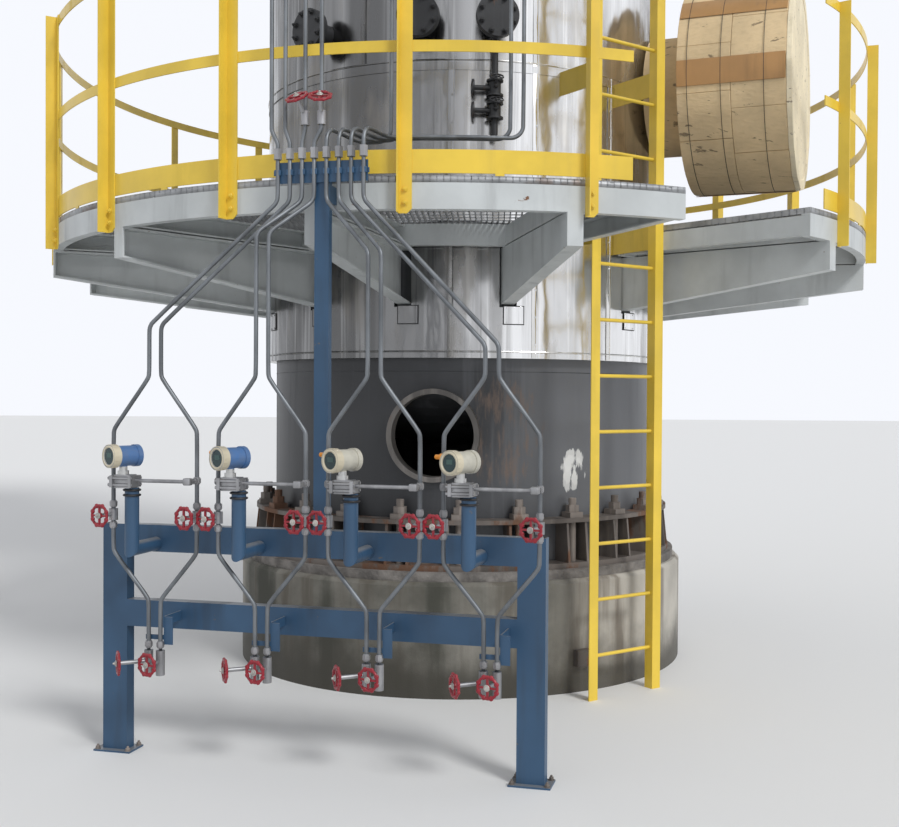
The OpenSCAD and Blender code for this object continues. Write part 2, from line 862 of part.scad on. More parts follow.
// Hoops and vertical straps round the ladder between one deck and the next
module cage() {
    hoops = 4;
    z0 = deck_z + cage_start;
    z1 = deck_z + storey_pitch - ring_depth - 100;
    for (i = [0 : hoops - 1])
        translate([0, 0, z0 + i * (z1 - z0 - hoop_h) / (hoops - 1)]) hoop();
    for (a = [-60, -30, 0, 30, 60])
        translate([cage_reach, 0, 0])
            rotate([0, 0, a])
                translate([cage_r - 2 * cage_t, -20, z0]) cube([cage_t + 0.5, 40, z1 - z0]);
}

module ladder_cages() {
    color("gold")
        at(ladder_phi)
            for (k = [0 : storeys - 2])
                translate([ladder_r, 0, k * storey_pitch]) cage();
}

module manway_boxes() {
    color("tan")
        each_storey()
            difference() {
                union() {
                    radial_hole(manway_phi, deck_z + manway_up, 2 * manway_r, manway_start,
                        manway_end - manway_rim);
                    radial_hole(manway_phi, deck_z + manway_up, 2 * manway_neck_r, clad_r - 100,
                        manway_start + 10);
                }
                cylinder(r = clad_r + seat, h = deck_z + manway_up + 2 * manway_r, $fn = 480);
            }
}

module manway_rims() {
    color("wheat")
        each_storey()
            difference() {
                radial_hole(manway_phi, deck_z + manway_up, 2 * manway_r + 10,
                    manway_end - manway_rim, manway_end);
                radial_hole(manway_phi, deck_z + manway_up, 2 * manway_r - 60,
                    manway_end - 10, manway_end + 10);
            }
}

// A gate valve on a drop leg at z = 0: body between two flanges, bonnet and handwheel to the left
module leg_valve() {
    translate([0, 0, -leg_d]) cylinder(d = 1.9 * leg_d, h = 2 * leg_d, $fn = 32);
    for (z = [-1.3, 1])
        translate([0, 0, z * leg_d]) cylinder(d = 2.7 * leg_d, h = 0.3 * leg_d, $fn = 32);
    rotate([90, 0, 0]) cylinder(d = 0.8 * leg_d, h = 3.4 * leg_d, $fn = 24);
    translate([0, -3.4 * leg_d, 0])
        rotate([90, 0, 0])
            difference() {
                cylinder(d = 2.6 * leg_d, h = 0.3 * leg_d, $fn = 32);
                for (a = [0 : 90 : 270])
                    rotate([0, 0, a + 45])
                        translate([0.8 * leg_d, 0, -1]) cylinder(d = 0.7 * leg_d, h = leg_d, $fn = 16);
            }
}

// Necks with a flange and a blind flange above each deck, the last with a valved drop leg
module instrument_nozzles() {
    color("dimgray")
        each_storey() {
            for (phi = nozzle_phis) {
                radial_hole(phi, deck_z + nozzle_up, nozzle_d, clad_r, nozzle_face_r);
                radial_hole(phi, deck_z + nozzle_up, nozzle_flange_d,
                    nozzle_face_r - 2 * nozzle_flange_t, nozzle_face_r);
            }
            at(nozzle_phis[len(nozzle_phis) - 1])
                translate([clad_r + nozzle_l / 3, 0, deck_z + nozzle_up - leg_l]) {
                    cylinder(d = leg_d, h = leg_l);
                    for (z = [0.24, 0.43])
                        translate([0, 0, z * leg_l]) leg_valve();
                }
        }
}

// Puts its children on the stand: +X runs along it, -Y points to its front
module on_stand() {
    at(riser_phi)
        translate([ring_r + stand_gap, 0, 0])
            rotate([0, 0, 90 - riser_phi + stand_turn])
                translate([-riser_x, 0, 0]) children();
}

module stand_legs() {
    color("steelblue")
        on_stand()
            for (x = [0, stand_w]) {
                translate([x - channel_w / 2, 0, foot_t])
                    linear_extrude(height = stand_h - foot_t)
                        rotate(90) mirror([0, 1]) channel_outline(channel_w, channel_f, channel_t);
                translate([x - channel_w / 2 - foot_margin, -foot_margin, 0])
                    cube([channel_w + 2 * foot_margin, channel_f + 2 * foot_margin, foot_t]);
            }
}

module stand_beams() {
    color("steelblue")
        on_stand() {
            for (z = [stand_h, low_beam_z])
                translate([channel_w / 2, 0, z - channel_w])
                    rotate([90, 0, 90])
                        linear_extrude(height = stand_w - channel_w)
                            channel_outline(channel_w, channel_f, channel_t);
            for (k = [0 : stations - 1])
                translate([station_x(k), 0, low_beam_z - channel_w]) tube_bar();
        }
}

// Flat bars behind a closed pair of tubes, on an arm from the lower beam
module tube_bar() {
    back_y = -tube_out + tube_d / 2 + seat;
    x0 = pair_half + tube_d / 2 + seat;
    translate([x0, back_y, tube_bar_w]) cube([tube_bar_t, -back_y + weld, tube_bar_w]);
    translate([x0, back_y, -tube_bar_w]) cube([tube_bar_w, tube_bar_t, channel_w]);
    translate([-pair_half - tube_d, back_y, -tube_bar_w / 2])
        cube([pair_half + tube_d + x0 + weld, tube_bar_t, tube_bar_w / 2]);
}

function station_x(k) = station_first + k * station_pitch;

// A stanchion: an upright pipe and a stub to the beam, mitred into each other
module stanchion() {
    difference() {
        translate([0, 0, -stanchion_d]) cylinder(d = stanchion_d, h = stanchion_top - stub_z + stanchion_d);
        rotate([45, 0, 0])
            translate([-stanchion_d, -3 * stanchion_d, -3 * stanchion_d - weld])
                cube([2 * stanchion_d, 6 * stanchion_d, 3 * stanchion_d]);
    }
    difference() {
        translate([0, stanchion_out, 0])
            rotate([90, 0, 0]) cylinder(d = stanchion_d, h = stanchion_out + stanchion_d);
        rotate([45, 0, 0])
            translate([-stanchion_d, -3 * stanchion_d, 0])
                cube([2 * stanchion_d, 6 * stanchion_d, 3 * stanchion_d]);
    }
}

module stand_stanchions() {
    color("steelblue")
        on_stand()
            for (k = [0 : stations - 1])
                translate([station_x(k) - stanchion_left, -stanchion_out, stub_z]) stanchion();
}

module riser() {
    color("steelblue")
        on_stand()
            translate([riser_x - riser_w / 2, 0, stand_h])
                linear_extrude(height = riser_top - stand_h)
                    rotate(90) mirror([0, 1]) channel_outline(riser_w, riser_f, riser_t);
    color("steelblue")
        difference() {
            on_stand()
                translate([riser_x - riser_w / 2, riser_f, deck_z - (ring_depth + block_h) / 2])
                    cube([riser_w, 2 * stand_gap, block_h]);
            cylinder(r = ring_r + seat, h = deck_z, $fn = 720);
        }
}

module tube_clamp() {
    color("steelblue")
        on_stand()
            translate([riser_x - clamp_w / 2, -clamp_t, riser_top - clamp_h])
                cube([clamp_w, clamp_t, clamp_h]);
}

// Vector helpers for the bent tubes
function unit(v) = v / norm(v);
function turn(a, b) = acos(max(-1, min(1, unit(a) * unit(b))));

// How far a bend of radius r at point i cuts back the two straights that meet there
function cutback(p, i, r) = r * tan(turn(p[i] - p[i - 1], p[i + 1] - p[i]) / 2);

// The arc of the bend at point i, in steps of about 20 degrees
function bend_arc(p, i, r) = let(
    back = unit(p[i - 1] - p[i]),
    ahead = unit(p[i + 1] - p[i]),
    theta = turn(p[i] - p[i - 1], p[i + 1] - p[i]),
    start = p[i] + cutback(p, i, r) * back,
    side = unit(ahead - (ahead * back) * back),
    centre = start + r * side,
    steps = max(2, ceil(theta / 20)))
    [for (k = [0 : steps]) centre - r * cos(theta * k / steps) * side - r * sin(theta * k / steps) * back];

// The centre line of a tube: the ends and the arc of each bend between them
function centre_line(p, r) = concat([p[0]],
    [for (i = [1 : len(p) - 2]) each bend_arc(p, i, r)], [p[len(p) - 1]]);

function tangent(c, i) = unit(c[min(i + 1, len(c) - 1)] - c[max(i - 1, 0)]);
function square_to(v, t) = unit(v - (v * t) * t);

// A direction across the centre line at each of its points, carried along without twist
function carried(c) = [for (i = 0, n = square_to([0, 1, 0.3], tangent(c, 0)); i < len(c);
    i = i + 1, n = i < len(c) ? square_to(n, tangent(c, i)) : n) n];

// A round tube swept along a route with a true bend at each inner point
module bent_tube(route, r, d) {
    sides = 8;
    c = centre_line(route, r);
    across = carried(c);
    rings = [for (i = [0 : len(c) - 1]) for (k = [0 : sides - 1])
        c[i] + d / 2 * (cos(k * 360 / sides) * across[i]
            + sin(k * 360 / sides) * cross(tangent(c, i), across[i]))];
    walls = [for (i = [0 : len(c) - 2]) for (k = [0 : sides - 1])
        [i * sides + k, (i + 1) * sides + k, (i + 1) * sides + (k + 1) % sides, i * sides + (k + 1) % sides]];
    first = [for (k = [0 : sides - 1]) k];
    last = [for (k = [sides - 1 : -1 : 0]) (len(c) - 1) * sides + k];
    polyhedron(points = rings, faces = concat([first, last], walls));
}

// Tube i of the fan, counted from the left: station, side and places along the stand
function tube_station(i) = floor(i / 2);
function tube_side(i) = i % 2 == 0 ? -1 : 1;
function clamp_x(i) = riser_x + (i - stations + 0.5) * clamp_pitch;
function pair_x(i) = station_x(tube_station(i)) + tube_side(i) * pair_half;
function run_x(i) = station_x(tube_station(i)) + tube_side(i) * run_half;

function drain_turn(i) = tube_side(i) < 0 ? long_stem_turn : run_stem_turn;
function drain_stem(i) = tube_side(i) < 0 ? long_stem : stem_l;

// A point round the column, in the stand's coordinates
function round_column(phi, r, z) = let(a = phi - stand_turn)
    [axis_x + r * sin(a), axis_y - r * cos(a), z];

// The point at radius r on the straight line from a point to the column's axis
function inward(p, r) = let(away = [p[0] - axis_x, p[1] - axis_y])
    [axis_x + r * away[0] / norm(away), axis_y + r * away[1] / norm(away), p[2]];

// Tube i from the clamp down to its drain valve
function tube_route(i) = [
    [clamp_x(i), clamp_y, butt_z - seat],
    [clamp_x(i), clamp_y, fan_z],
    [pair_x(i), -tube_out, fan_z - abs(clamp_x(i) - pair_x(i))],
    [pair_x(i), -tube_out, split_z],
    [run_x(i), -tube_out, run_top],
    [run_x(i), -tube_out, run_bottom],
    [pair_x(i), -tube_out, low_z],
    [pair_x(i), -tube_out, tube_end_z]];

// The left half of the tubes steps sideways above the clamp and goes up outside the rails
function stepped_route(i) = let(step_z = butt_z + union_l / 2 + step_bend_r / 2)
    [[clamp_x(i), clamp_y, butt_z + seat],
    [clamp_x(i), clamp_y, step_z],
    [clamp_x(i) + up_steps[i], clamp_y, step_z + max(step_rise, abs(up_steps[i]))],
    [clamp_x(i) + up_steps[i], clamp_y, cross_z - 2 * tube_bend_r]];

// The right half curls over the toe plate and runs in lanes inside the rails
function lane_r(i) = ring_r - lane_gap - (2 * stations - i) * lane_pitch;
function lane_start(i) = riser_phi + atan((i - stations + 1.5) * clamp_pitch / (ring_r + stand_gap));
function curled_route(i) = let(phi = up_phis[i - stations], start = lane_start(i))
    concat([[clamp_x(i), clamp_y, butt_z + seat], [clamp_x(i), clamp_y, curl_z]],
        [for (a = [start : max(3.5, (phi - start) / 3) : phi - 1]) round_column(a, lane_r(i), curl_z)],
        [round_column(phi, lane_r(i), curl_z), round_column(phi, lane_r(i), cross_z - 2 * tube_bend_r)]);

function up_route(i) = i < stations ? stepped_route(i) : curled_route(i);
function up_end(i) = up_route(i)[len(up_route(i)) - 1];

// The last length turns at the top and crosses to the cladding
function cross_route(i) = let(corner = [up_end(i)[0], up_end(i)[1], cross_z])
    [up_end(i) + [0, 0, 2 * seat], corner, inward(corner, clad_r + seat)];

module impulse_tubes() {
    color("gray")
        on_stand()
            for (i = [0 : 2 * stations - 1]) {
                bent_tube(tube_route(i), tube_bend_r, tube_d);
                bent_tube(up_route(i), i < stations ? step_bend_r : tube_bend_r, tube_d);
                bent_tube(cross_route(i), tube_bend_r, tube_d);
            }
}

// Transmitter: a barrel between two screwed caps, a cable gland and a neck with a collar
module transmitter() {
    neck_l = housing_z - stanchion_top - manifold_h;
    difference() {
        union() {
            rotate([90, 0, 0]) cylinder(d = housing_d, h = housing_l, center = true);
            for (side = [-1, 1])
                translate([0, side * (housing_l + cap_l) / 2, 0])
                    rotate([90, 0, 0]) cylinder(d = housing_d + 2 * cap_rise, h = cap_l, center = true);
        }
        translate([0, -housing_l / 2 - cap_l, 0])
            rotate([90, 0, 0]) cylinder(d = housing_d - 4 * cap_rise, h = 2 * cap_rise, center = true);
    }
    translate([-housing_d / 2 - gland_l, 0, housing_d / 5])
        rotate([0, 90, 0]) cylinder(d = gland_d, h = gland_l + housing_d / 4, $fn = 24);
    translate([0, 0, -neck_l]) cylinder(d = neck_d, h = neck_l - housing_d / 3);
    translate([0, 0, -neck_l]) cylinder(d = 1.4 * neck_d, h = neck_d / 2);
}

module transmitters() {
    color("cornflowerblue")
        on_stand()
            for (k = [0 : stations - 1])
                translate([station_x(k) - housing_left, -stanchion_out - manifold_d / 3, housing_z])
                    rotate([0, 0, -housing_turn]) transmitter();
}

// Manifold: a block with two bolted flanges on the stanchion's top, and a tube to the right run
module manifold() {
    block_x = manifold_w / 2 - manifold_w / 8;
    translate([-manifold_w / 2 + manifold_w / 8, -manifold_d / 2, 0])
        cube([manifold_w, manifold_d, manifold_h]);
    for (x = [-manifold_w / 2 + manifold_w / 8 - manifold_flange_t, block_x + manifold_w / 4])
        translate([x, -manifold_d * 0.7, manifold_h * 0.06])
            cube([manifold_flange_t, manifold_d * 1.4, manifold_h * 0.88]);
    for (y = [-1, 1], z = [1, 3])
        translate([-manifold_w / 2 - manifold_flange_t, y * manifold_d * 0.56, z * manifold_h / 4])
            rotate([0, 90, 0]) cylinder(d = 14, h = manifold_w + 3 * manifold_flange_t, $fn = 6);
    translate([block_x, 0, manifold_h * 0.56])
        rotate([0, 90, 0])
            cylinder(d = cross_tube_d, h = housing_left + run_half - block_x - tube_d / 2 - seat);
}

module manifolds() {
    color("lightgray")
        on_stand()
            for (k = [0 : stations - 1])
                translate([station_x(k) - housing_left, -stanchion_out - manifold_d / 3, stanchion_top])
                    manifold();
}

// Puts its children on a valve's stem: +Z runs along the stem towards the wheel
module on_stem(x, z, turn_left) {
    translate([x, -tube_out, z]) rotate([90, 0, -turn_left]) children();
}

// Puts its children on the valve above the clamp at the left (-1) or at the right (1)
module on_upper_valve(side) {
    i = stations - 2 + (side + 1) / 2;
    translate([clamp_x(i) + up_steps[i], clamp_y, upper_valve_z])
        rotate([0, 0, side * upper_stem_turn]) children();
}

// A round body, bored for the tube that passes through it
module bored_body(h) {
    difference() {
        translate([0, 0, -h / 2]) cylinder(d = valve_d, h = h, $fn = 32);
        translate([0, 0, -h]) cylinder(d = tube_d + 2 * seat, h = 2 * h, $fn = 32);
    }
}

// A bonnet from its start in the body to the wheel
module bonnet(l, start = valve_d / 2 - weld) {
    translate([0, 0, start]) cylinder(d = bonnet_d, h = l - start, $fn = 32);
}

// The hexagonal union between two lengths of a tube
module tube_union() {
    difference() {
        cylinder(d = union_w / cos(30), h = union_l, center = true, $fn = 6);
        cylinder(d = tube_d + 2 * seat, h = 2 * union_l, center = true, $fn = 32);
    }
}

// Isolation and drain valves, the two valves above the clamp and the unions of the tubes
module valve_bodies() {
    color("lightgray")
        on_stand() {
            for (i = [0 : 2 * stations - 1]) {
                translate([run_x(i), -tube_out, valve_z]) bored_body(valve_h);
                on_stem(run_x(i), valve_z, run_stem_turn) bonnet(stem_l);
                translate([pair_x(i), -tube_out, drain_z - drain_below])
                    cylinder(d = valve_d, h = tube_end_z - drain_z + drain_below, $fn = 32);
                on_stem(pair_x(i), drain_z, drain_turn(i)) bonnet(drain_stem(i));
                translate([clamp_x(i), clamp_y, butt_z]) tube_union();
                translate(up_end(i) + [0, 0, seat]) tube_union();
            }
            for (side = [-1, 1])
                on_upper_valve(side) {
                    bored_body(upper_valve_h);
                    rotate([90 - upper_stem_rise, 0, 0]) bonnet(upper_stem_l, upper_valve_h / 2);
                }
        }
}

// Handwheel in the XY plane with a round rim, a hub and four spokes
module wheel() {
    rotate_extrude($fn = 48) translate([wheel_d / 2 - wheel_rim / 2, 0]) circle(d = wheel_rim, $fn = 16);
    cylinder(d = wheel_hub_d, h = wheel_hub, center = true, $fn = 24);
    for (a = [0 : 90 : 270])
        rotate([0, 0, a])
            translate([wheel_hub_d / 2 - weld, -spoke_w / 2, -spoke_w / 2])
                cube([(wheel_d - wheel_rim - wheel_hub_d) / 2 + weld, spoke_w, spoke_w]);
}

module handwheels() {
    color("crimson")
        on_stand()
            for (i = [0 : 2 * stations - 1]) {
                on_stem(run_x(i), valve_z, run_stem_turn)
                    translate([0, 0, stem_l + wheel_hub / 2]) wheel();
                on_stem(pair_x(i), drain_z, drain_turn(i))
                    translate([0, 0, drain_stem(i) + wheel_hub / 2]) wheel();
            }
    color("crimson")
        on_stand()
            for (side = [-1, 1])
                on_upper_valve(side)
                    rotate([90 - upper_stem_rise, 0, 0])
                        translate([0, 0, upper_stem_l + wheel_hub / 2]) wheel();
}

pedestal();
earthing_lug();
grout_bed();
base_ring();
chair_ring();
chair_gussets();
anchor_bolts();
skirt();
access_sleeve();
bottom_head();
vessel_shell();
cladding_base();
cladding_lower();
cladding_middle();
cladding_upper();
top_head();
vapour_nozzle();
platform_brackets();
platform_1_frame();
platform_2_frame();
platform_3_frame();
platform_1_deck();
platform_2_deck();
platform_3_deck();
platform_1_toe_plate();
platform_2_toe_plate();
platform_3_toe_plate();
platform_1_guard();
platform_2_guard();
platform_3_guard();
ladder();
ladder_cleats();
ladder_cages();
manway_boxes();
manway_rims();
instrument_nozzles();
stand_legs();
stand_beams();
stand_stanchions();
riser();
tube_clamp();
impulse_tubes();
transmitters();
manifolds();
valve_bodies();
handwheels();
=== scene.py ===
"""Finishes the distillation column's solids and adds its gratings, seams, fixings and stage."""

import json
import math
import random
from functools import partial

import bmesh
import bpy
from bpy.props import FloatProperty, FloatVectorProperty, IntProperty, PointerProperty
from mathutils import Matrix, Vector, noise


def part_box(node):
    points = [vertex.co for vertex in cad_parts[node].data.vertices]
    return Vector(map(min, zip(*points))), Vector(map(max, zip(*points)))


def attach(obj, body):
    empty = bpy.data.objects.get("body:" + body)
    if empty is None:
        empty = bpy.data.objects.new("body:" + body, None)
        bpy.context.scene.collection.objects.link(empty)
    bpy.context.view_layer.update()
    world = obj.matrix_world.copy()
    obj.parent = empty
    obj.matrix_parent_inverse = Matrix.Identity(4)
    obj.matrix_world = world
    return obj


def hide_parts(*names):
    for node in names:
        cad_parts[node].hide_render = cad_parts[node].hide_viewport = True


bl_info = {
    "name": "Distillation Column Finisher",
    "version": (1, 0, 0),
    "blender": (4, 5, 0),
    "location": "View3D > Sidebar > Column",
    "description": "Finishes the column's solids and adds gratings, seams, fixings and stage",
    "category": "Object",
}

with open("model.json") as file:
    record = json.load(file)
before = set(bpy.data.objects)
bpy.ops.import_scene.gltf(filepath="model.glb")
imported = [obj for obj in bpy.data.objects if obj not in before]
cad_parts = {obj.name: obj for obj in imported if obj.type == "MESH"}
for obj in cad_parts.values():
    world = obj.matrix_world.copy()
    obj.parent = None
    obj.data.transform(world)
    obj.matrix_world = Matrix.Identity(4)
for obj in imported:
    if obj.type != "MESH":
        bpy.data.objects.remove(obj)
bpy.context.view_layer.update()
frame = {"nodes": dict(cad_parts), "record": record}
BODY = "root"

DECKS = sorted(name for name in frame["nodes"] if name.endswith("_deck"))
DECK_LOW, DECK_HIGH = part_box(DECKS[0])
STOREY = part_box(DECKS[1])[0].z - DECK_LOW.z
LEVELS = [STOREY * level for level in range(len(DECKS))]
RING_R = DECK_HIGH.y
CLAD_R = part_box("cladding_upper")[1].y
CLAD_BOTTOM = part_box("cladding_base")[0].z
CLAD_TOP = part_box("cladding_upper")[1].z
SKIRT_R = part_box("skirt")[1].y

# The column's fittings: metres, and degrees round it from -Y towards +X.
LAP_R = 1.248
FIRST_SEAM_PHI = -1.6
BRACKET_PHI = 13.0
BRACKET_STEP = 26.8
BRACKETS = 13
BRACKET_FOOT = 2.115
LADDER_PHI = 36.2
POST_PHI = 14.7
POST_STEP = 18.9
POSTS = 18
POST_T = 0.006
MANWAY_PHI = 70.0
MANWAY_Z = 3.441
MANWAY_R = 0.6
MANWAY_START = 1.5
MANWAY_END = 2.13
RIM = 0.03
NECK_R = 0.35
TAPE_W = 0.145
TAPE_TURNS = (20, 239, 279)
NOZZLE_PHIS = (-37.0, -8.8, 8.9)
NOZZLE_Z = 3.641
NOZZLE_FACE_R = 1.4
BOLT_RING = 1.258
BOLT_START = 1.0
BOLTS = 24
BOLT_R = 0.021

# The instrument stand: metres along it from its left leg, out from it and up; turns in degrees.
RISER_PHI = -12.0
STAND_GAP = 0.091
STAND_TURN = -13.4
RISER_ALONG = 0.990
STATION_FIRST = 0.285
STATION_PITCH = 0.500
STATIONS = 4
MIDDLES = [STATION_FIRST + STATION_PITCH * station for station in range(STATIONS)]
STANCHION_OUT = 0.200
HEAD_OUT = STANCHION_OUT + 0.020
TUBE_OUT = 0.150
RUN_HALF = 0.200
PAIR_HALF = 0.028
CLAMP_PITCH = 0.056
CLAMP_OUT = 0.018
CLAMP_Z = 2.575
TUBE_END_Z = 0.505
VALVE_Z = 1.090
DRAIN_Z = 0.457
MANIFOLD_Z = 1.213
HOUSING_LEFT = 0.110
HOUSING_Z = 1.350
HOUSING_TURN = 26.0
FACE_OUT = 0.070
CAP_R = 0.048
CAP_L = 0.022
BARREL_R = 0.044
GLASS_R = 0.036
GLAND_R = 0.013
GLAND_L = 0.048
STEM = 0.072
LONG_STEM = 0.120
RUN_STEM_TURN = 15.0
LONG_STEM_TURN = 52.0
WHEEL_R = 0.050
HUB = 0.014

# Sheets, small valves and the stand's feet.
FIRST_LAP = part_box("cladding_base")[1].z
COURSE = 1.05
STAGGER = 21.6
SHEET_ARC = 45.0
STANCHION_LEFT = 0.080
STAND_W = 1.922
FOOT_T = 0.008
LEG_R = CLAD_R + 0.155 / 3
LEG_D = 0.034
LEG_VALVES = (3.1546, 3.2762)
UPPER_VALVES = ((0.920, -15.0), (0.995, 15.0))
UPPER_Z = 2.804
LINK_Z = 1.245
UPPER_STEM = 0.090
UPPER_RISE = 54.0

# Trim and fixings; a pair of bolt values is their number and the radius of their ring.
SHEET_T = 0.0012
BEAD_UP = 0.035
LAP_DOWN = (0.055, 0.012)
SEAM_W = 0.034
RIDGE_SIDE = 0.012
PATCH_TURN = 1.4
WIRES = (0.10, 0.41, 0.80)
RIM_WEAR = 0.006
RIM_CHIP = 0.005
LOBES = 8
NOZZLE_BOLTS = (8, 0.093)
VAPOUR_BOLTS = (16, 0.27)
LEG_LEAN = 35.0
CLIP_R = 0.0335
POST_BOLTS_DOWN = (0.030, 0.088)
FOOT_BOLTS_ALONG = (-0.075, 0.075)
FOOT_BOLTS_OUT = (0.016, -0.076)
VALVE_NUTS_UP = (-0.046, 0.046)
THREADS = 5
THREAD_PITCH = 0.0052
RIB_TURN = 20
SKIRT_SEAM_DOWN = 0.073
CLEAR_OF_STEEL = 6

# Colours of marks, dirt and wear, and of painted reflection, glare and shade.
DRIP = (0.12, 0.095, 0.07)
# Mould, darkened further as painted shade.
MOULD_AND_SHADE = (0.032, 0.034, 0.024)
DAMP = (0.040, 0.036, 0.026)
RUST = (0.17, 0.075, 0.035)
ZINC_RUST = (0.15, 0.08, 0.045)
CHIP = (0.20, 0.10, 0.055)
TOP_DUST = (0.34, 0.31, 0.26)
SHEET_DUST = (0.34, 0.31, 0.27)
# Painted reflection and glare on the cladding: bright runs, dull runs, the dark left side and the bright
# right side.
PAINTED_SHEEN = (0.97, 0.965, 0.95)
PAINTED_DULL = (0.16, 0.155, 0.15)
PAINTED_DARK_REFLECTION = (0.085, 0.085, 0.085)
PAINTED_GLARE = (0.96, 0.955, 0.94)
SOIL = (0.10, 0.07, 0.045)
GRIME = (0.20, 0.19, 0.17)
BARE = (0.55, 0.55, 0.54)
SPLASH = (0.72, 0.72, 0.70)
STAIN = (0.16, 0.115, 0.09)
SKIRT_STAINS = (
    ((0.21, -1.18, 1.42), 0.50, STAIN, 0.85),
    ((0.656, -0.999, 1.26), 0.115, SPLASH, 0.8),
    ((0.652, -1.002, 1.20), 0.130, SPLASH, 0.8),
    ((0.640, -1.009, 1.15), 0.110, SPLASH, 0.8),
)
# Painted shade on the skirt's left side and painted light on its right: azimuth, wide and narrow angle, tone
# and share.
SKIRT_LIGHT_AND_SHADE = ((-48, 52, 14, 0.4, 0.75), (50, 42, 14, 2.2, 0.7))

# The stage; the sky is brighter where it is seen or mirrored.
SKY = (0.93, 0.95, 1.0, 1.0)
SKY_LIGHT = 0.62
SKY_SEEN = 1.0
SUN_TURN = (48, 0, 38)
SUN_POWER = 1.7
SUN_SPREAD = 14
FRAME_WIDTH = 36.0
FAR = 500.0

# Filled by the first operator: a material for each kind of surface.
FINISHES = {}


class Amount:
    """A shader socket that takes part in sums."""

    def __init__(self, finish, socket):
        self.finish = finish
        self.socket = socket

    def _sums(operation):
        """A sum with this amount first, and one with it last."""
        return (lambda self, other: self.finish.calc(operation, self, other),
                lambda self, other: self.finish.calc(operation, other, self))

    __add__, __radd__ = _sums("ADD")
    __sub__, __rsub__ = _sums("SUBTRACT")
    __mul__, __rmul__ = _sums("MULTIPLY")
    __truediv__, __rtruediv__ = _sums("DIVIDE")


class Finish:
    """Builds the nodes of one finish."""

    def __init__(self, name, roughness=0.5, metallic=0.0):
        self.material = bpy.data.materials.new(name)
        self.material.use_nodes = True
        self.tree = self.material.node_tree
        self.shader = self.tree.nodes["Principled BSDF"]
        self.shader.inputs["Roughness"].default_value = roughness
        self.shader.inputs["Metallic"].default_value = metallic

    def node(self, kind, settings=None, inputs=(), output=0):
        """Adds a node: its settings first, then the values or links of its sockets."""
        node = self.tree.nodes.new(kind)
        for key, value in (settings or {}).items():
            setattr(node, key, value)
        pairs = inputs.items() if isinstance(inputs, dict) else enumerate(inputs)
        for key, value in pairs:
            self.feed(node.inputs[key], value)
        return Amount(self, node.outputs[output])

    def feed(self, socket, value):
        if isinstance(value, Amount):
            self.tree.links.new(value.socket, socket)
        else:
            socket.default_value = value

    def calc(self, operation, *values):
        return self.node("ShaderNodeMath", {"operation": operation}, values)

    def place(self):
        return self.node("ShaderNodeTexCoord", output="Object")

    def axis(self, letter):
        return self.node("ShaderNodeSeparateXYZ", inputs=(self.place(),), output=letter)

    def azimuth(self):
        """The angle round the column, in radians, from -Y towards +X."""
        return self.calc("ARCTAN2", self.axis("X"), 0.0 - self.axis("Y"))

    def grain(self, scale, detail=4.0, stretch=(1, 1, 1), shift=0.0, rough=0.55):
        """Noise from 0 to 1; a stretch under 1 draws it out along that axis."""
        spot = self.node("ShaderNodeMapping", {}, {"Vector": self.place(), "Location": (shift, shift, shift),
                                                  "Scale": stretch})
        return self.node("ShaderNodeTexNoise", {}, {"Vector": spot, "Scale": scale, "Detail": detail,
                                                   "Roughness": rough})

    def step(self, value, low, high, start=0.0, end=1.0):
        """Goes smoothly from start to end while the value goes from low to high."""
        return self.node("ShaderNodeMapRange", {"interpolation_type": "SMOOTHSTEP"},
                         (value, low, high, start, end))

    def blend(self, share, first, second):
        """A mix of two colours."""
        return self.node("ShaderNodeMix", {"data_type": "RGBA"},
                         {0: share, 6: tint(first), 7: tint(second)}, 2)

    def clouded(self, cloud, colour, dark, low=0.3, high=0.7):
        """The colour, darker where the cloud is low."""
        return self.blend(self.step(cloud, low, high), [c * dark for c in colour], colour)

    def upward(self):
        """1 on faces that look up, 0 on the others."""
        up = self.node("ShaderNodeSeparateXYZ", inputs=(self.node("ShaderNodeNewGeometry", output="Normal"),),
                       output="Z")
        return self.step(up, 0.5, 0.9)

    def facing(self, phi, wide, narrow):
        """1 round one side of the column, 0 from the wide angle on; angles in degrees."""
        turned = self.calc("COSINE", self.azimuth() - math.radians(phi))
        return self.step(turned, math.cos(math.radians(wide)), math.cos(math.radians(narrow)))

    def near(self, spot, reach):
        """1 at a place, 0 from its reach on."""
        away = self.node("ShaderNodeVectorMath", {"operation": "DISTANCE"}, (self.place(), spot), "Value")
        return self.step(away, reach * 0.4, reach, 1.0, 0.0)

    def set(self, socket, value):
        self.feed(self.shader.inputs[socket], tint(value) if socket == "Base Color" else value)

    def bump(self, height, depth, strength=1.0):
        """Depth is in metres."""
        self.set("Normal", self.node("ShaderNodeBump", {}, {"Height": height, "Distance": depth,
                                                           "Strength": strength}))


def tint(colour):
    """A colour with its alpha, or a link as it is."""
    return colour if isinstance(colour, Amount) or len(colour) == 4 else (*colour, 1.0)


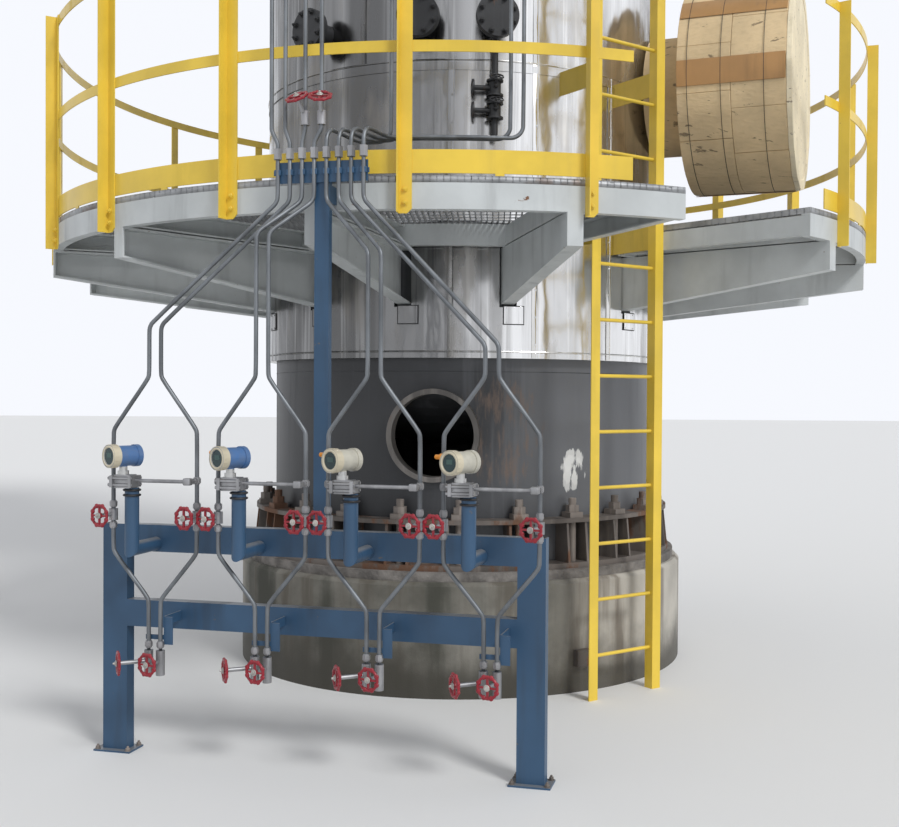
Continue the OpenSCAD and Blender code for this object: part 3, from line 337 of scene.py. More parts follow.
def cast_concrete(colour):
    """Cast concrete with drips from the grout, damp towards the bottom, and mould with painted shade on the
    side towards the stand.
    """
    finish = Finish("cast_concrete")
    patch = finish.grain(2.2, 6.0)
    light = finish.clouded(patch, colour, 0.72, 0.35)
    drip = finish.grain(5.0, 5.0, (1, 1, 0.09), 3.0)
    run = finish.step(drip, 0.48, 0.64)
    streaked = finish.blend(run * 0.75, light, DRIP)
    # Mould and painted shade: the side towards the stand is darkened, most where the drip and patch noise is
    # low.
    mould_and_shade = finish.facing(-22, 60, 36) * finish.step(drip + patch * 0.5, 0.90, 0.60, 0.55, 1.0)
    streaked = finish.blend(mould_and_shade * 0.92, streaked, MOULD_AND_SHADE)
    wet = finish.step(finish.axis("Z") + patch * 0.45, 0.30, 0.62, 1.0, 0.0)
    finish.set("Base Color", finish.blend(wet * 0.88, streaked, DAMP))
    finish.set("Roughness", 0.92 - wet * 0.35)
    finish.bump(finish.grain(120.0, 3.0, shift=1.0) * 0.3 + finish.grain(6.0, 5.0) * 0.8, 0.004)
    return finish.material


def rough_grout(colour):
    finish = Finish("rough_grout", 0.95)
    patch = finish.grain(9.0, 6.0)
    finish.set("Base Color", finish.clouded(patch, colour, 0.45))
    finish.bump(finish.grain(28.0, 6.0), 0.012)
    return finish.material


def primed_steel(name, colour, rust_from=0.62, shine=0.5, stains=(), sides=()):
    """Bare or primed steel with vertical water marks and rust.

    A stain has place, reach, colour and share; a side has azimuth, wide and narrow angle, tone and share, and
    darkens or lightens one side as painted shade or painted light.
    """
    finish = Finish(name, shine, 0.25)
    cloud = finish.grain(1.6, 6.0, shift=5.0)
    body = finish.blend(finish.step(cloud, 0.3, 0.72), [c * 0.55 for c in colour], [c * 1.25 for c in colour])
    marks = finish.step(finish.grain(16.0, 5.0, (1, 1, 0.05), 2.0), 0.52, 0.72)
    body = finish.blend(marks * 0.42, body, [c * 2.2 for c in colour])
    # Painted shade and painted light: each side is made darker or lighter by its tone.
    for phi, wide, narrow, tone, share in sides:
        body = finish.blend(finish.facing(phi, wide, narrow) * share, body, [c * tone for c in colour])
    ragged = finish.grain(24.0, 6.0, (1, 1, 0.22), 4.0, 0.65)
    for spot, reach, stain, share in stains:
        cover = finish.step(finish.near(spot, reach) * 0.32 + ragged, 0.76, 0.78 + reach * 0.4)
        body = finish.blend(cover * share, body, stain)
    rust = finish.step(finish.grain(3.5, 8.0, (1, 1, 0.4), 8.0, 0.65), rust_from, rust_from + 0.08)
    finish.set("Base Color", finish.blend(rust * 0.75, body, RUST))
    finish.set("Roughness", shine + rust * 0.3 + marks * 0.12)
    finish.bump(finish.grain(70.0, 3.0) * 0.4 + rust, 0.0012)
    return finish.material


def sheet_cladding(colour):
    """Thin polished sheets, each of its own tone, with long bright and dull runs of painted reflection, a
    painted dark reflection on the left side, painted glare on the right side, and shallow dents.
    """
    finish = Finish("sheet_cladding", 0.22, 1.0)
    course = finish.calc("FLOOR", (finish.axis("Z") - FIRST_LAP) / COURSE + 1.0)
    course = finish.calc("MAXIMUM", course, 0.0)
    odd = finish.calc("MODULO", course, 2.0)
    turn = (finish.azimuth() * (180 / math.pi) - FIRST_SEAM_PHI - odd * STAGGER) / SHEET_ARC
    seed = finish.calc("FLOOR", turn) * 3.7 + course * 11.3
    tone = finish.node("ShaderNodeTexWhiteNoise", {"noise_dimensions": "1D"}, {"W": seed})
    body = finish.blend(tone, [c * 0.66 for c in colour], colour)
    # Painted reflection: long dark runs, bright runs and fine dull runs stand for the surroundings mirrored
    # in the sheet.
    broad = finish.step(finish.grain(4.2, 3.0, (1, 1, 0.02), 4.0), 0.40, 0.58)
    body = finish.blend(broad * 0.78, body, [c * 0.26 for c in colour])
    bright = finish.step(finish.grain(13.0, 3.0, (1, 1, 0.025), 2.0), 0.52, 0.62)
    body = finish.blend(bright * 0.75, body, PAINTED_SHEEN)
    fine = finish.step(finish.grain(34.0, 3.0, (1, 1, 0.03), 7.0), 0.55, 0.70)
    body = finish.blend(fine * 0.55, body, PAINTED_DULL)
    # Painted reflection and painted glare: the left side is darker and the right side brighter.
    body = finish.blend(finish.facing(-34, 50, 16) * 0.76, body, PAINTED_DARK_REFLECTION)
    body = finish.blend(finish.facing(37, 34, 14) * 0.60, body, PAINTED_GLARE)
    dust = finish.step(finish.grain(7.0, 6.0, (1, 1, 0.30), 9.0), 0.52, 0.75)
    finish.set("Base Color", finish.blend(dust * 0.38, body, SHEET_DUST))
    finish.set("Roughness", 0.17 + dust * 0.22 + broad * 0.10)
    dent = finish.grain(1.7, 2.0, (1, 1, 0.3), 6.0) + finish.grain(5.5, 2.0, (1, 1, 0.40), 7.0) * 0.3
    finish.bump(dent, 0.06, 0.75)
    return finish.material


def gloss_paint(name, colour, grime=0.3, chips=0.66, shine=0.32, under=CHIP):
    """Gloss paint on steel, with dust on top faces, runs of dirt and a few rusted chips."""
    finish = Finish(name, shine)
    cloud = finish.grain(3.0, 5.0, shift=2.0)
    body = finish.clouded(cloud, colour, 0.80, high=0.75)
    run = finish.step(finish.grain(11.0, 5.0, (1, 1, 0.12), 5.0), 0.52, 0.74)
    body = finish.blend(run * grime, body, [c * 0.42 + 0.02 for c in colour])
    body = finish.blend(finish.upward() * grime * 0.9, body, TOP_DUST)
    chip = finish.step(finish.grain(14.0, 9.0, shift=11.0, rough=0.7), chips, chips + 0.03)
    finish.set("Base Color", finish.blend(chip, body, under))
    finish.set("Roughness", shine + chip * 0.4 + run * 0.2)
    finish.bump(finish.grain(90.0, 2.0) * 0.25 - chip * 0.6, 0.0008)
    return finish.material


def drawn_steel(name, colour, shine=0.34, metallic=0.9):
    finish = Finish(name, shine, metallic)
    cloud = finish.grain(12.0, 5.0, (1, 1, 0.4))
    finish.set("Base Color", finish.clouded(cloud, colour, 0.6))
    finish.set("Roughness", shine + cloud * 0.15)
    finish.bump(finish.grain(160.0, 2.0), 0.0004)
    return finish.material


def block_insulation(colour):
    """Blocks of tan insulation, soiled in places."""
    finish = Finish("block_insulation", 0.85)
    cloud = finish.grain(3.5, 6.0, shift=3.0)
    body = finish.clouded(cloud, colour, 0.80)
    fibre = finish.grain(55.0, 5.0, (0.25, 1, 1), 2.0)
    body = finish.blend(finish.step(fibre, 0.45, 0.75) * 0.25, body, [c * 0.6 for c in colour])
    spot = finish.step(finish.grain(26.0, 7.0, (0.16, 1, 1), 7.0, 0.6), 0.63, 0.66)
    finish.set("Base Color", finish.blend(spot * 0.7, body, SOIL))
    finish.bump(fibre + cloud * 2.0, 0.004)
    return finish.material


def transmitter_paint(blue, cream):
    """Blue housings on the first two stations and cream ones on the others, each on a bare steel neck."""
    finish = Finish("transmitter_paint", 0.32)
    cloud = finish.step(finish.grain(24.0, 6.0, shift=2.0), 0.3, 0.7)
    body = finish.blend(finish.step(finish.axis("X"), -0.66, -0.64), blue, cream)
    body = finish.blend(cloud * 0.25, body, GRIME)
    neck = finish.step(finish.axis("Z"), HOUSING_Z - 0.047, HOUSING_Z - 0.044, 1.0, 0.0)
    finish.set("Base Color", finish.blend(neck, body, BARE))
    finish.set("Metallic", neck * 0.9)
    finish.set("Roughness", 0.30 + cloud * 0.12)
    finish.bump(finish.grain(140.0, 2.0), 0.0005)
    return finish.material


def galvanised(colour):
    finish = Finish("galvanised", 0.5, 0.55)
    cloud = finish.grain(8.0, 6.0)
    body = finish.clouded(cloud, colour, 0.6)
    rust = finish.step(finish.grain(5.0, 7.0, shift=3.0), 0.6, 0.7)
    finish.set("Base Color", finish.blend(rust * 0.6, body, ZINC_RUST))
    finish.bump(finish.grain(80.0, 2.0), 0.0008)
    return finish.material


Shade = partial(FloatVectorProperty, subtype="COLOR", min=0, max=1)
Length = partial(FloatProperty, unit="LENGTH")


class ColumnColours(bpy.types.PropertyGroup):
    """Colours of the finishes, as they render under plain light."""

    concrete: Shade(name="Concrete", description="Dry cast concrete", default=(0.56, 0.53, 0.47))
    grout: Shade(name="Grout", description="Grout under the base ring", default=(0.27, 0.25, 0.23))
    skirt: Shade(name="Skirt steel", description="Dark primed skirt", default=(0.060, 0.062, 0.066))
    chairs: Shade(name="Chairs", description="Base ring, chairs and bolts", default=(0.15, 0.13, 0.115))
    cladding: Shade(name="Cladding", description="Stainless sheet", default=(0.78, 0.775, 0.765))
    platform: Shade(name="Platform paint", description="Light grey paint", default=(0.60, 0.63, 0.63))
    safety: Shade(name="Safety yellow", description="Ladder and rails", default=(0.88, 0.62, 0.07))
    blue: Shade(name="Steel blue", description="Instrument stand", default=(0.036, 0.092, 0.175))
    tubing: Shade(name="Tubing", description="Impulse tubes", default=(0.215, 0.23, 0.245))
    red: Shade(name="Handwheel red", description="Handwheels", default=(0.33, 0.012, 0.026))
    block: Shade(name="Insulation", description="Manway insulation blocks", default=(0.78, 0.60, 0.36))
    zinc: Shade(name="Galvanised", description="Gratings", default=(0.42, 0.43, 0.44))


class FittingSizes(bpy.types.PropertyGroup):
    """Sizes of the gratings, seams, blocks and bolts."""

    bar_pitch: Length(name="Bar pitch", description="Spacing of the gratings' bars", default=0.030, min=0.02)
    bar_width: Length(name="Bar width", description="Thickness of a grating bar", default=0.005, min=0.002)
    rod_pitch: Length(name="Rod pitch", description="Spacing of the gratings' cross rods",
                      default=0.100, min=0.04)
    bead: Length(name="Bead", description="Half the height of a rolled bead", default=0.005, min=0.002)
    course_height: Length(name="Course height", description="Height of a course of sheet",
                          default=COURSE, min=0.5)
    stagger: FloatProperty(name="Stagger", description="Turn of the seams from course to course, in degrees",
                           default=STAGGER)
    screw_pitch: Length(name="Screw pitch", description="Spacing of the screws in a seam",
                        default=0.15, min=0.05)
    patch: Length(name="Patch", description="Width of the plates under the brackets", default=0.11, min=0.05)
    staves: IntProperty(name="Staves", description="Insulation blocks round a manway", default=14, min=8)
    bolt_radius: Length(name="Bolt radius", description="Half the width of a post bolt's head",
                        default=0.012, min=0.005)


class StageSizes(bpy.types.PropertyGroup):
    """Camera, lamps and floor."""

    eye: FloatVectorProperty(name="Eye", description="The camera's place", subtype="TRANSLATION",
                             unit="LENGTH", default=(0.2188, -7.4344, 1.6099))
    pitch: FloatProperty(name="Pitch", description="Downward tilt of the view", subtype="ANGLE",
                         unit="ROTATION", default=0.0140)
    roll: FloatProperty(name="Roll", description="Turn of the picture", subtype="ANGLE",
                        unit="ROTATION", default=0.0063)
    lens: FloatProperty(name="Lens", description="Focal length in millimetres on a 36 mm frame",
                        default=45.54, min=10, max=200)
    shift: FloatProperty(name="Shift", description="Sideways shift of the picture", default=-0.052)
    floor: Length(name="Floor", description="Side of the square floor", default=160.0)


def sizes(name):
    return getattr(bpy.context.scene, name)


def clear_choice():
    bpy.ops.object.select_all(action="DESELECT")


def choose(*objects):
    clear_choice()
    for item in objects:
        item.select_set(True)
    bpy.context.view_layer.objects.active = objects[0]


def settle(piece, name, slot, material, *replaced):
    """Names a finished piece, seats it in the column's frame and gives it its finish."""
    choose(piece)
    applied()
    piece.name = name
    piece.data.materials.clear()
    piece.data.materials.append(material)
    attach(piece, BODY)
    if replaced:
        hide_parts(*replaced)


def applied():
    """The active piece, its transform applied."""
    bpy.ops.object.transform_apply(location=True, rotation=True, scale=True)
    return bpy.context.object


def altered(piece, kind, **values):
    """Applies a modifier with these settings to a piece."""
    choose(piece)
    modifier = piece.modifiers.new(kind.lower(), kind)
    for key, value in values.items():
        setattr(modifier, key, value)
    bpy.ops.object.modifier_apply(modifier=modifier.name)
    return piece


def twin(source):
    """A copy of a piece with a mesh of its own."""
    copy = source.copy()
    copy.data = source.data.copy()
    bpy.context.collection.objects.link(copy)
    return copy


def merged_copy(node):
    """A copy of a solid with its triangles joined, free to be shaped."""
    copy = twin(frame["nodes"][node])
    copy.parent = None
    for key in list(copy.keys()):
        if key.startswith("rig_"):
            del copy[key]
    choose(copy)
    bpy.ops.object.mode_set(mode="EDIT")
    bpy.ops.mesh.select_all(action="SELECT")
    bpy.ops.mesh.remove_doubles(threshold=1e-5)
    bpy.ops.object.mode_set(mode="OBJECT")
    return copy


def ring_place(phi, radius, height):
    """A place round the column: X points outwards, Y along the ring and Z up."""
    turn = Matrix.Rotation(math.radians(phi - 90), 4, "Z")
    return turn @ Matrix.Translation((radius, 0, height))


def stand_place(along, out, height, turn=0.0):
    """A place in front of the instrument stand: X runs along it and -Y away from the column."""
    riser = ring_place(RISER_PHI, RING_R + STAND_GAP, 0)
    bearing = Matrix.Rotation(math.radians(90 - RISER_PHI + STAND_TURN), 4, "Z")
    spot = Matrix.Translation((along - RISER_ALONG, -out, height))
    return riser @ bearing @ spot @ Matrix.Rotation(math.radians(turn), 4, "Z")


def outwards():
    """Turns a pattern modelled along Z so that it points along X."""
    return Matrix.Rotation(math.pi / 2, 4, "Y")


def frontwards():
    """Turns a pattern modelled along Z so that it points along -Y."""
    return Matrix.Rotation(math.pi / 2, 4, "X")


def rod(radius, length, sides=12, middle=0.0, bevel=0.0):
    """A round or many-sided rod along Z, with bevelled ends."""
    clear_choice()
    bpy.ops.mesh.primitive_cylinder_add(vertices=sides, radius=radius, depth=length, location=(0, 0, middle))
    piece = applied()
    if bevel:
        altered(piece, "BEVEL", width=bevel, segments=1, angle_limit=math.radians(65), limit_method="ANGLE")
    return piece


def block(size, middle=(0, 0, 0), bevel=0.0):
    """A bevelled block."""
    clear_choice()
    bpy.ops.mesh.primitive_cube_add(size=1, location=middle)
    bpy.context.object.scale = size
    piece = applied()
    if bevel:
        altered(piece, "BEVEL", width=bevel, segments=2)
    return piece


def hoop(radius, thickness, height=0.0, segments=128, sides=8):
    """A round bar bent into a ring round Z."""
    clear_choice()
    bpy.ops.mesh.primitive_torus_add(major_radius=radius, minor_radius=thickness, major_segments=segments,
                                     minor_segments=sides, location=(0, 0, height))
    return applied()


def wrap(radius, low, high, thickness, sides=160):
    """A thin sheet wrapped round Z, its inside at the radius."""
    clear_choice()
    bpy.ops.mesh.primitive_cylinder_add(vertices=sides, radius=radius, depth=high - low,
                                        location=(0, 0, (low + high) / 2), end_fill_type="NOTHING")
    return altered(applied(), "SOLIDIFY", thickness=thickness, offset=1.0)


def joined(*pieces):
    choose(*pieces)
    if len(pieces) > 1:
        bpy.ops.object.join()
    return bpy.context.object


def copies(pattern, places):
    """One piece made of a copy of the pattern at each place."""
    made = []
    for place in places:
        copy = twin(pattern)
        copy.data.transform(place)
        made.append(copy)
    bpy.data.objects.remove(pattern)
    return joined(*made)


def smooth(piece, angle=40):
    choose(piece)
    bpy.ops.object.shade_smooth_by_angle(angle=math.radians(angle))
    return piece


def bolt(radius, height):
    """A hexagon head on a washer, along Z from 0."""
    washer = rod(radius * 1.25, height * 0.25, 16, height * 0.12)
    head = rod(radius, height * 0.75, 6, height * 0.6, radius * 0.12)
    stub = rod(radius * 0.5, height * 0.6, 12, height * 1.2, radius * 0.08)
    return joined(washer, head, stub)


class COLUMN_OT_finish_solids(bpy.types.Operator):
    """Give every solid of the column its finish"""

    bl_idname = "column.finish_solids"
    bl_label = "Finish Solids"

    def execute(self, context):
        colours = sizes("column_colours")
        FINISHES.update({
            "concrete": cast_concrete(colours.concrete),
            "grout": rough_grout(colours.grout),
            "bare_steel": primed_steel("chair_steel", colours.chairs, 0.52, 0.6),
            "bolt_steel": primed_steel("bolt_steel", [c * 1.5 for c in colours.chairs], 0.55, 0.55),
            "vessel_steel": primed_steel("vessel_steel", colours.skirt),
            "cladding": sheet_cladding(colours.cladding),
            "platform_grey": gloss_paint("platform_paint", colours.platform, 0.35, 0.67, 0.42),
            "grating": galvanised(colours.zinc),
            "safety_yellow": gloss_paint("safety_paint", colours.safety, 0.16, 0.70, 0.30),
            "ochre_yellow": gloss_paint("cleat_paint", [c * 0.8 for c in colours.safety], 0.3, 0.68, 0.35),
            "insulation": block_insulation(colours.block),
            "insulation_rim": block_insulation((0.95, 0.85, 0.63)),
            "nozzle_steel": primed_steel("nozzle_steel", [c * 0.5 for c in colours.skirt], 0.6),
            "stand_blue": gloss_paint("stand_paint", colours.blue, 0.5, 0.665, 0.42, (0.13, 0.12, 0.11)),
            "tube_steel": drawn_steel("tube_steel", colours.tubing, 0.40, 0.7),
            "housing_blue": transmitter_paint((0.07, 0.17, 0.38), (0.54, 0.52, 0.44)),
            "valve_steel": drawn_steel("valve_steel", (0.42, 0.42, 0.43), 0.42),
            "wheel_red": gloss_paint("wheel_paint", colours.red, 0.15, 0.72, 0.28),
            "tape": gloss_paint("brown_tape", (0.50, 0.275, 0.105), 0.4, 0.72, 0.40, (0.30, 0.19, 0.10)),
            "dark_glass": drawn_steel("dark_glass", (0.012, 0.045, 0.05), 0.06, 0.0),
            "display": drawn_steel("display", (0.05, 0.11, 0.10), 0.35, 0.0),
            "cream_enamel": gloss_paint("cream_enamel", (0.70, 0.63, 0.47), 0.4, 0.70, 0.3),
            "pale_nut": drawn_steel("pale_nut", (0.62, 0.60, 0.56), 0.35, 0.4),
            "black_iron": primed_steel("black_iron", (0.03, 0.03, 0.032), 0.70, 0.5),
            "gland_orange": gloss_paint("gland_enamel", (0.80, 0.30, 0.03), 0.3, 0.74, 0.35),
        })
        slots = {part["node"]: part["material_slot"] for part in frame["record"]["subparts"]}
        for name, node in frame["nodes"].items():
            node.data.materials.clear()
            node.data.materials.append(FINISHES[slots[name]])
        # The skirt gets painted shade on its left and painted light on its right.
        skirt = primed_steel("skirt_steel", [c * 1.2 for c in colours.skirt], 0.68, 0.42, SKIRT_STAINS,
                             SKIRT_LIGHT_AND_SHADE)
        frame["nodes"]["skirt"].data.materials[0] = skirt
        sleeve = primed_steel("sleeve_steel", (0.20, 0.185, 0.17), 0.62, 0.5)
        frame["nodes"]["access_sleeve"].data.materials[0] = sleeve
        return {"FINISHED"}


class COLUMN_OT_add_gratings(bpy.types.Operator):
    """Cut the gratings' bars to the decks' outlines"""

    bl_idname = "column.add_gratings"
    bl_label = "Add Gratings"

    def cut(self, bar, spacing, count, outline):
        """Repeats a bar and keeps what lies within the outline."""
        altered(bar, "ARRAY", use_relative_offset=False, use_constant_offset=True,
                constant_offset_displace=spacing, count=count)
        return altered(bar, "BOOLEAN", operation="INTERSECT", object=outline, solver="EXACT")

    def banding(self, outline, thickness):
        """The flat strip welded round a grating's edge."""
        strip = twin(outline)
        choose(strip)
        bpy.ops.object.mode_set(mode="EDIT")
        mesh = bmesh.from_edit_mesh(strip.data)
        for face in mesh.faces:
            face.select = abs(face.normal.z) > 0.5
        bmesh.update_edit_mesh(strip.data)
        bpy.ops.mesh.delete(type="FACE")
        bpy.ops.object.mode_set(mode="OBJECT")
        return altered(strip, "SOLIDIFY", thickness=thickness, offset=-1.0)

    def execute(self, context):
        fit = sizes("fitting_sizes")
        outline = merged_copy(DECKS[0])
        low, high = DECK_LOW.z, DECK_HIGH.z
        reach = 2 * RING_R
        count = int(reach / fit.bar_pitch)
        first = -fit.bar_pitch * (count - 1) / 2
        bar = block((fit.bar_width, reach, 2 * (high - low)), (first, 0, (low + high) / 2))
        bars = self.cut(bar, (fit.bar_pitch, 0, 0), count, outline)
        rods = int(reach / fit.rod_pitch)
        cross = rod(fit.bar_width * 0.7, reach, 6)
        cross.data.transform(outwards())
        cross.data.transform(Matrix.Translation((0, -fit.rod_pitch * (rods - 1) / 2 + 0.013, high - 0.007)))
        crosses = self.cut(cross, (0, fit.rod_pitch, 0), rods, outline)
        grating = joined(bars, crosses, self.banding(outline, fit.bar_width))
        bpy.data.objects.remove(outline)
        for index, deck in enumerate(DECKS):
            copy = twin(grating)
            copy.location.z = LEVELS[index]
            settle(copy, f"grating_{index + 1}", "grating", FINISHES["grating"], deck)
        bpy.data.objects.remove(grating)
        return {"FINISHED"}


class COLUMN_OT_add_cladding_seams(bpy.types.Operator):
    """Add the beads, laps, screws and patches of the sheet cladding"""

    bl_idname = "column.add_cladding_seams"
    bl_label = "Add Cladding Seams"

    def clear_of_steel(self, phi):
        """False where a bracket, the ladder or the manway takes the seam's place."""
        taken = [BRACKET_PHI - BRACKET_STEP * index for index in range(BRACKETS)] + [LADDER_PHI, MANWAY_PHI]
        return all(abs((phi - other + 180) % 360 - 180) > CLEAR_OF_STEEL for other in taken)

    def execute(self, context):
        fit = sizes("fitting_sizes")
        levels = [CLAD_BOTTOM + BEAD_UP, FIRST_LAP]
        while levels[-1] + fit.course_height < CLAD_TOP - 0.1:
            levels.append(levels[-1] + fit.course_height)
        pieces = [hoop(LAP_R, fit.bead, level) for level in levels]
        pieces += [wrap(LAP_R, *(level - down for down in LAP_DOWN), SHEET_T) for level in levels[1:]]
        courses = list(zip([CLAD_BOTTOM + 0.002] + levels[1:], levels[1:] + [CLAD_TOP]))
        screws = []
        for index, (low, high) in enumerate(courses):
            phis = [FIRST_SEAM_PHI + fit.stagger * (index % 2) + SHEET_ARC * turn for turn in range(8)]
            if index == 0:
                phis.append(FIRST_SEAM_PHI + fit.stagger)
            for phi in filter(self.clear_of_steel, phis):
                strip = block((0.0016, SEAM_W, high - low), (LAP_R - CLAD_R, 0, 0), 0.0004)
                ridge = rod(fit.bead * 0.7, high - low, 8)
                ridge.data.transform(Matrix.Translation((LAP_R - CLAD_R + SHEET_T, RIDGE_SIDE, 0)))
                seam = joined(strip, ridge)
                seam.data.transform(ring_place(phi, CLAD_R, (low + high) / 2))
                pieces.append(seam)
                for step in range(int((high - low) / fit.screw_pitch)):
                    height = low + fit.screw_pitch * (step + 0.5)
                    screws.append(ring_place(phi + 0.2, LAP_R + 0.0008, height) @ outwards())
        head = rod(0.0055, 0.005, 8, 0.0015, 0.001)
        pieces.append(copies(head, screws))
        settle(smooth(joined(*pieces)), "cladding_seams", "cladding", FINISHES["cladding"])

        plate = block((0.0016, fit.patch, fit.patch * 0.86), (0.001, 0, 0), 0.0005)
        corner = fit.patch * 0.36
        rivets = copies(rod(0.004, 0.005, 8, 0.0025), [Matrix.Translation((0, y, z)) @ outwards()
                                                      for y in (-corner, corner) for z in (-corner, corner)])
        patch = joined(plate, rivets)
        places = [ring_place(BRACKET_PHI - BRACKET_STEP * index + PATCH_TURN, LAP_R,
                             BRACKET_FOOT - fit.patch * 0.5 + level)
                  for index in range(BRACKETS) for level in LEVELS]
        settle(copies(patch, places), "patch_plates", "cladding", FINISHES["cladding"])
        # Painted shade: a dark sheet a little larger than each patch plate. Its black rim stands for the
        # shadow in the gap round the cut-out.
        shadow_gap_sheet = block((0.0014, fit.patch + 0.010, fit.patch * 0.86 + 0.010), (0.0006, 0, 0), 0.0004)
        settle(copies(shadow_gap_sheet, places), "patch_shadow_gaps", "nozzle_steel", FINISHES["black_iron"])

        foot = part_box("base_ring")[1].z
        welds = joined(hoop(SKIRT_R, 0.005, foot, 160, 8),
                       hoop(SKIRT_R, 0.0022, CLAD_BOTTOM - SKIRT_SEAM_DOWN, 160, 6))
        settle(smooth(welds, 60), "skirt_welds", "vessel_steel", FINISHES["vessel_steel"])
        return {"FINISHED"}


class COLUMN_OT_add_manway_blocks(bpy.types.Operator):
    """Lay the insulation blocks, tape and wires round the manways"""

    bl_idname = "column.add_manway_blocks"
    bl_label = "Add Manway Blocks"

    def stave(self, inner, outer, low, high, arc):
        """A curved block between two radii, spun from its profile."""
        clear_choice()
        bpy.ops.mesh.primitive_plane_add(size=1, location=((inner + outer) / 2, 0, (low + high) / 2),
                                         rotation=(math.pi / 2, 0, 0))
        bpy.context.object.scale = (outer - inner, high - low, 1)
        piece = applied()
        bpy.ops.object.mode_set(mode="EDIT")
        bpy.ops.mesh.select_all(action="SELECT")
        bpy.ops.mesh.spin(steps=4, dupli=False, angle=arc, center=(0, 0, 0), axis=(0, 0, 1))
        bpy.ops.mesh.select_all(action="SELECT")
        bpy.ops.mesh.normals_make_consistent(inside=False)
        bpy.ops.object.mode_set(mode="OBJECT")
        return altered(piece, "BEVEL", width=0.0025, segments=1, limit_method="ANGLE")

    def laid(self, rows, around, length, chance):
        """Rows of staves, each a little off its neighbours."""
        arc = 2 * math.pi / around
        row = length / rows
        base = self.stave(MANWAY_R - 0.075, MANWAY_R - 0.004, 0.001, row - 0.001, arc - 0.004)
        places = []
        for index in range(rows):
            for turn in range(around):
                shift = Matrix.Translation((0, 0, index * row))
                spin = Matrix.Rotation(turn * arc + index * arc * 0.37, 4, "Z")
                places.append(spin @ Matrix.Translation((chance.uniform(-0.004, 0.003), 0, 0)) @ shift)
        return copies(base, places)

    def execute(self, context):
        fit = sizes("fitting_sizes")
        chance = random.Random(7)
        length = MANWAY_END - MANWAY_START - RIM
        blocks = self.laid(2, fit.staves, length, chance)
        core = rod(MANWAY_R - 0.03, length - 0.01, 64, length / 2)
        back = rod(MANWAY_R - 0.01, 0.03, 64, 0.016, 0.006)
        neck = rod(NECK_R, MANWAY_START - CLAD_R + 0.01, 64, -(MANWAY_START - CLAD_R) / 2 + 0.02)
        boxes = joined(blocks, core, back, neck)
        lay = ring_place(MANWAY_PHI, MANWAY_START, MANWAY_Z) @ outwards()
        storeys = [Matrix.Translation((0, 0, level)) @ lay for level in LEVELS]
        settle(smooth(copies(boxes, storeys), 30), "manway_blocks", "insulation", FINISHES["insulation"],
               "manway_boxes")

        wires = joined(*[hoop(MANWAY_R - 0.001, 0.0017, length * share, 96, 6) for share in WIRES])
        settle(smooth(copies(wires, storeys), 60), "manway_wires", "nozzle_steel", FINISHES["nozzle_steel"])

        tape = self.stave(MANWAY_R - 0.004, MANWAY_R - 0.0005, 0.003, length - 0.003, TAPE_W / MANWAY_R)
        bands = copies(tape, [Matrix.Rotation(math.radians(turn), 4, "Z") for turn in TAPE_TURNS])
        settle(smooth(copies(bands, storeys), 30), "manway_tape", "insulation", FINISHES["tape"])

        rim = self.stave(MANWAY_R - 0.06, MANWAY_R + 0.004, length, length + RIM, math.pi / 2)
        rims = copies(rim, [Matrix.Rotation(math.pi / 2 * turn, 4, "Z") for turn in range(4)])
        cover = rod(MANWAY_R - 0.035, RIM, 64, length + RIM * 0.35, 0.004)
        rims = joined(rims, cover)
        altered(rims, "SUBSURF", subdivision_type="SIMPLE", levels=3, render_levels=3)
        for vertex in rims.data.vertices:
            reach = math.hypot(vertex.co.x, vertex.co.y)
            if reach > MANWAY_R - 0.02:
                angle = math.atan2(vertex.co.y, vertex.co.x)
                wear = noise.noise(Vector((math.cos(angle), math.sin(angle), vertex.co.z)) * 9.0)
                chip = noise.noise(Vector((math.cos(angle), math.sin(angle), 4.0 + vertex.co.z)) * 31.0)
                shrink = 1 - (RIM_WEAR * abs(wear) + RIM_CHIP * max(0.0, chip)) / MANWAY_R
                vertex.co.x *= shrink
                vertex.co.y *= shrink
        settle(smooth(copies(rims, storeys), 35), "manway_rim_edges", "insulation_rim",
               FINISHES["insulation_rim"], "manway_rims")
        return {"FINISHED"}


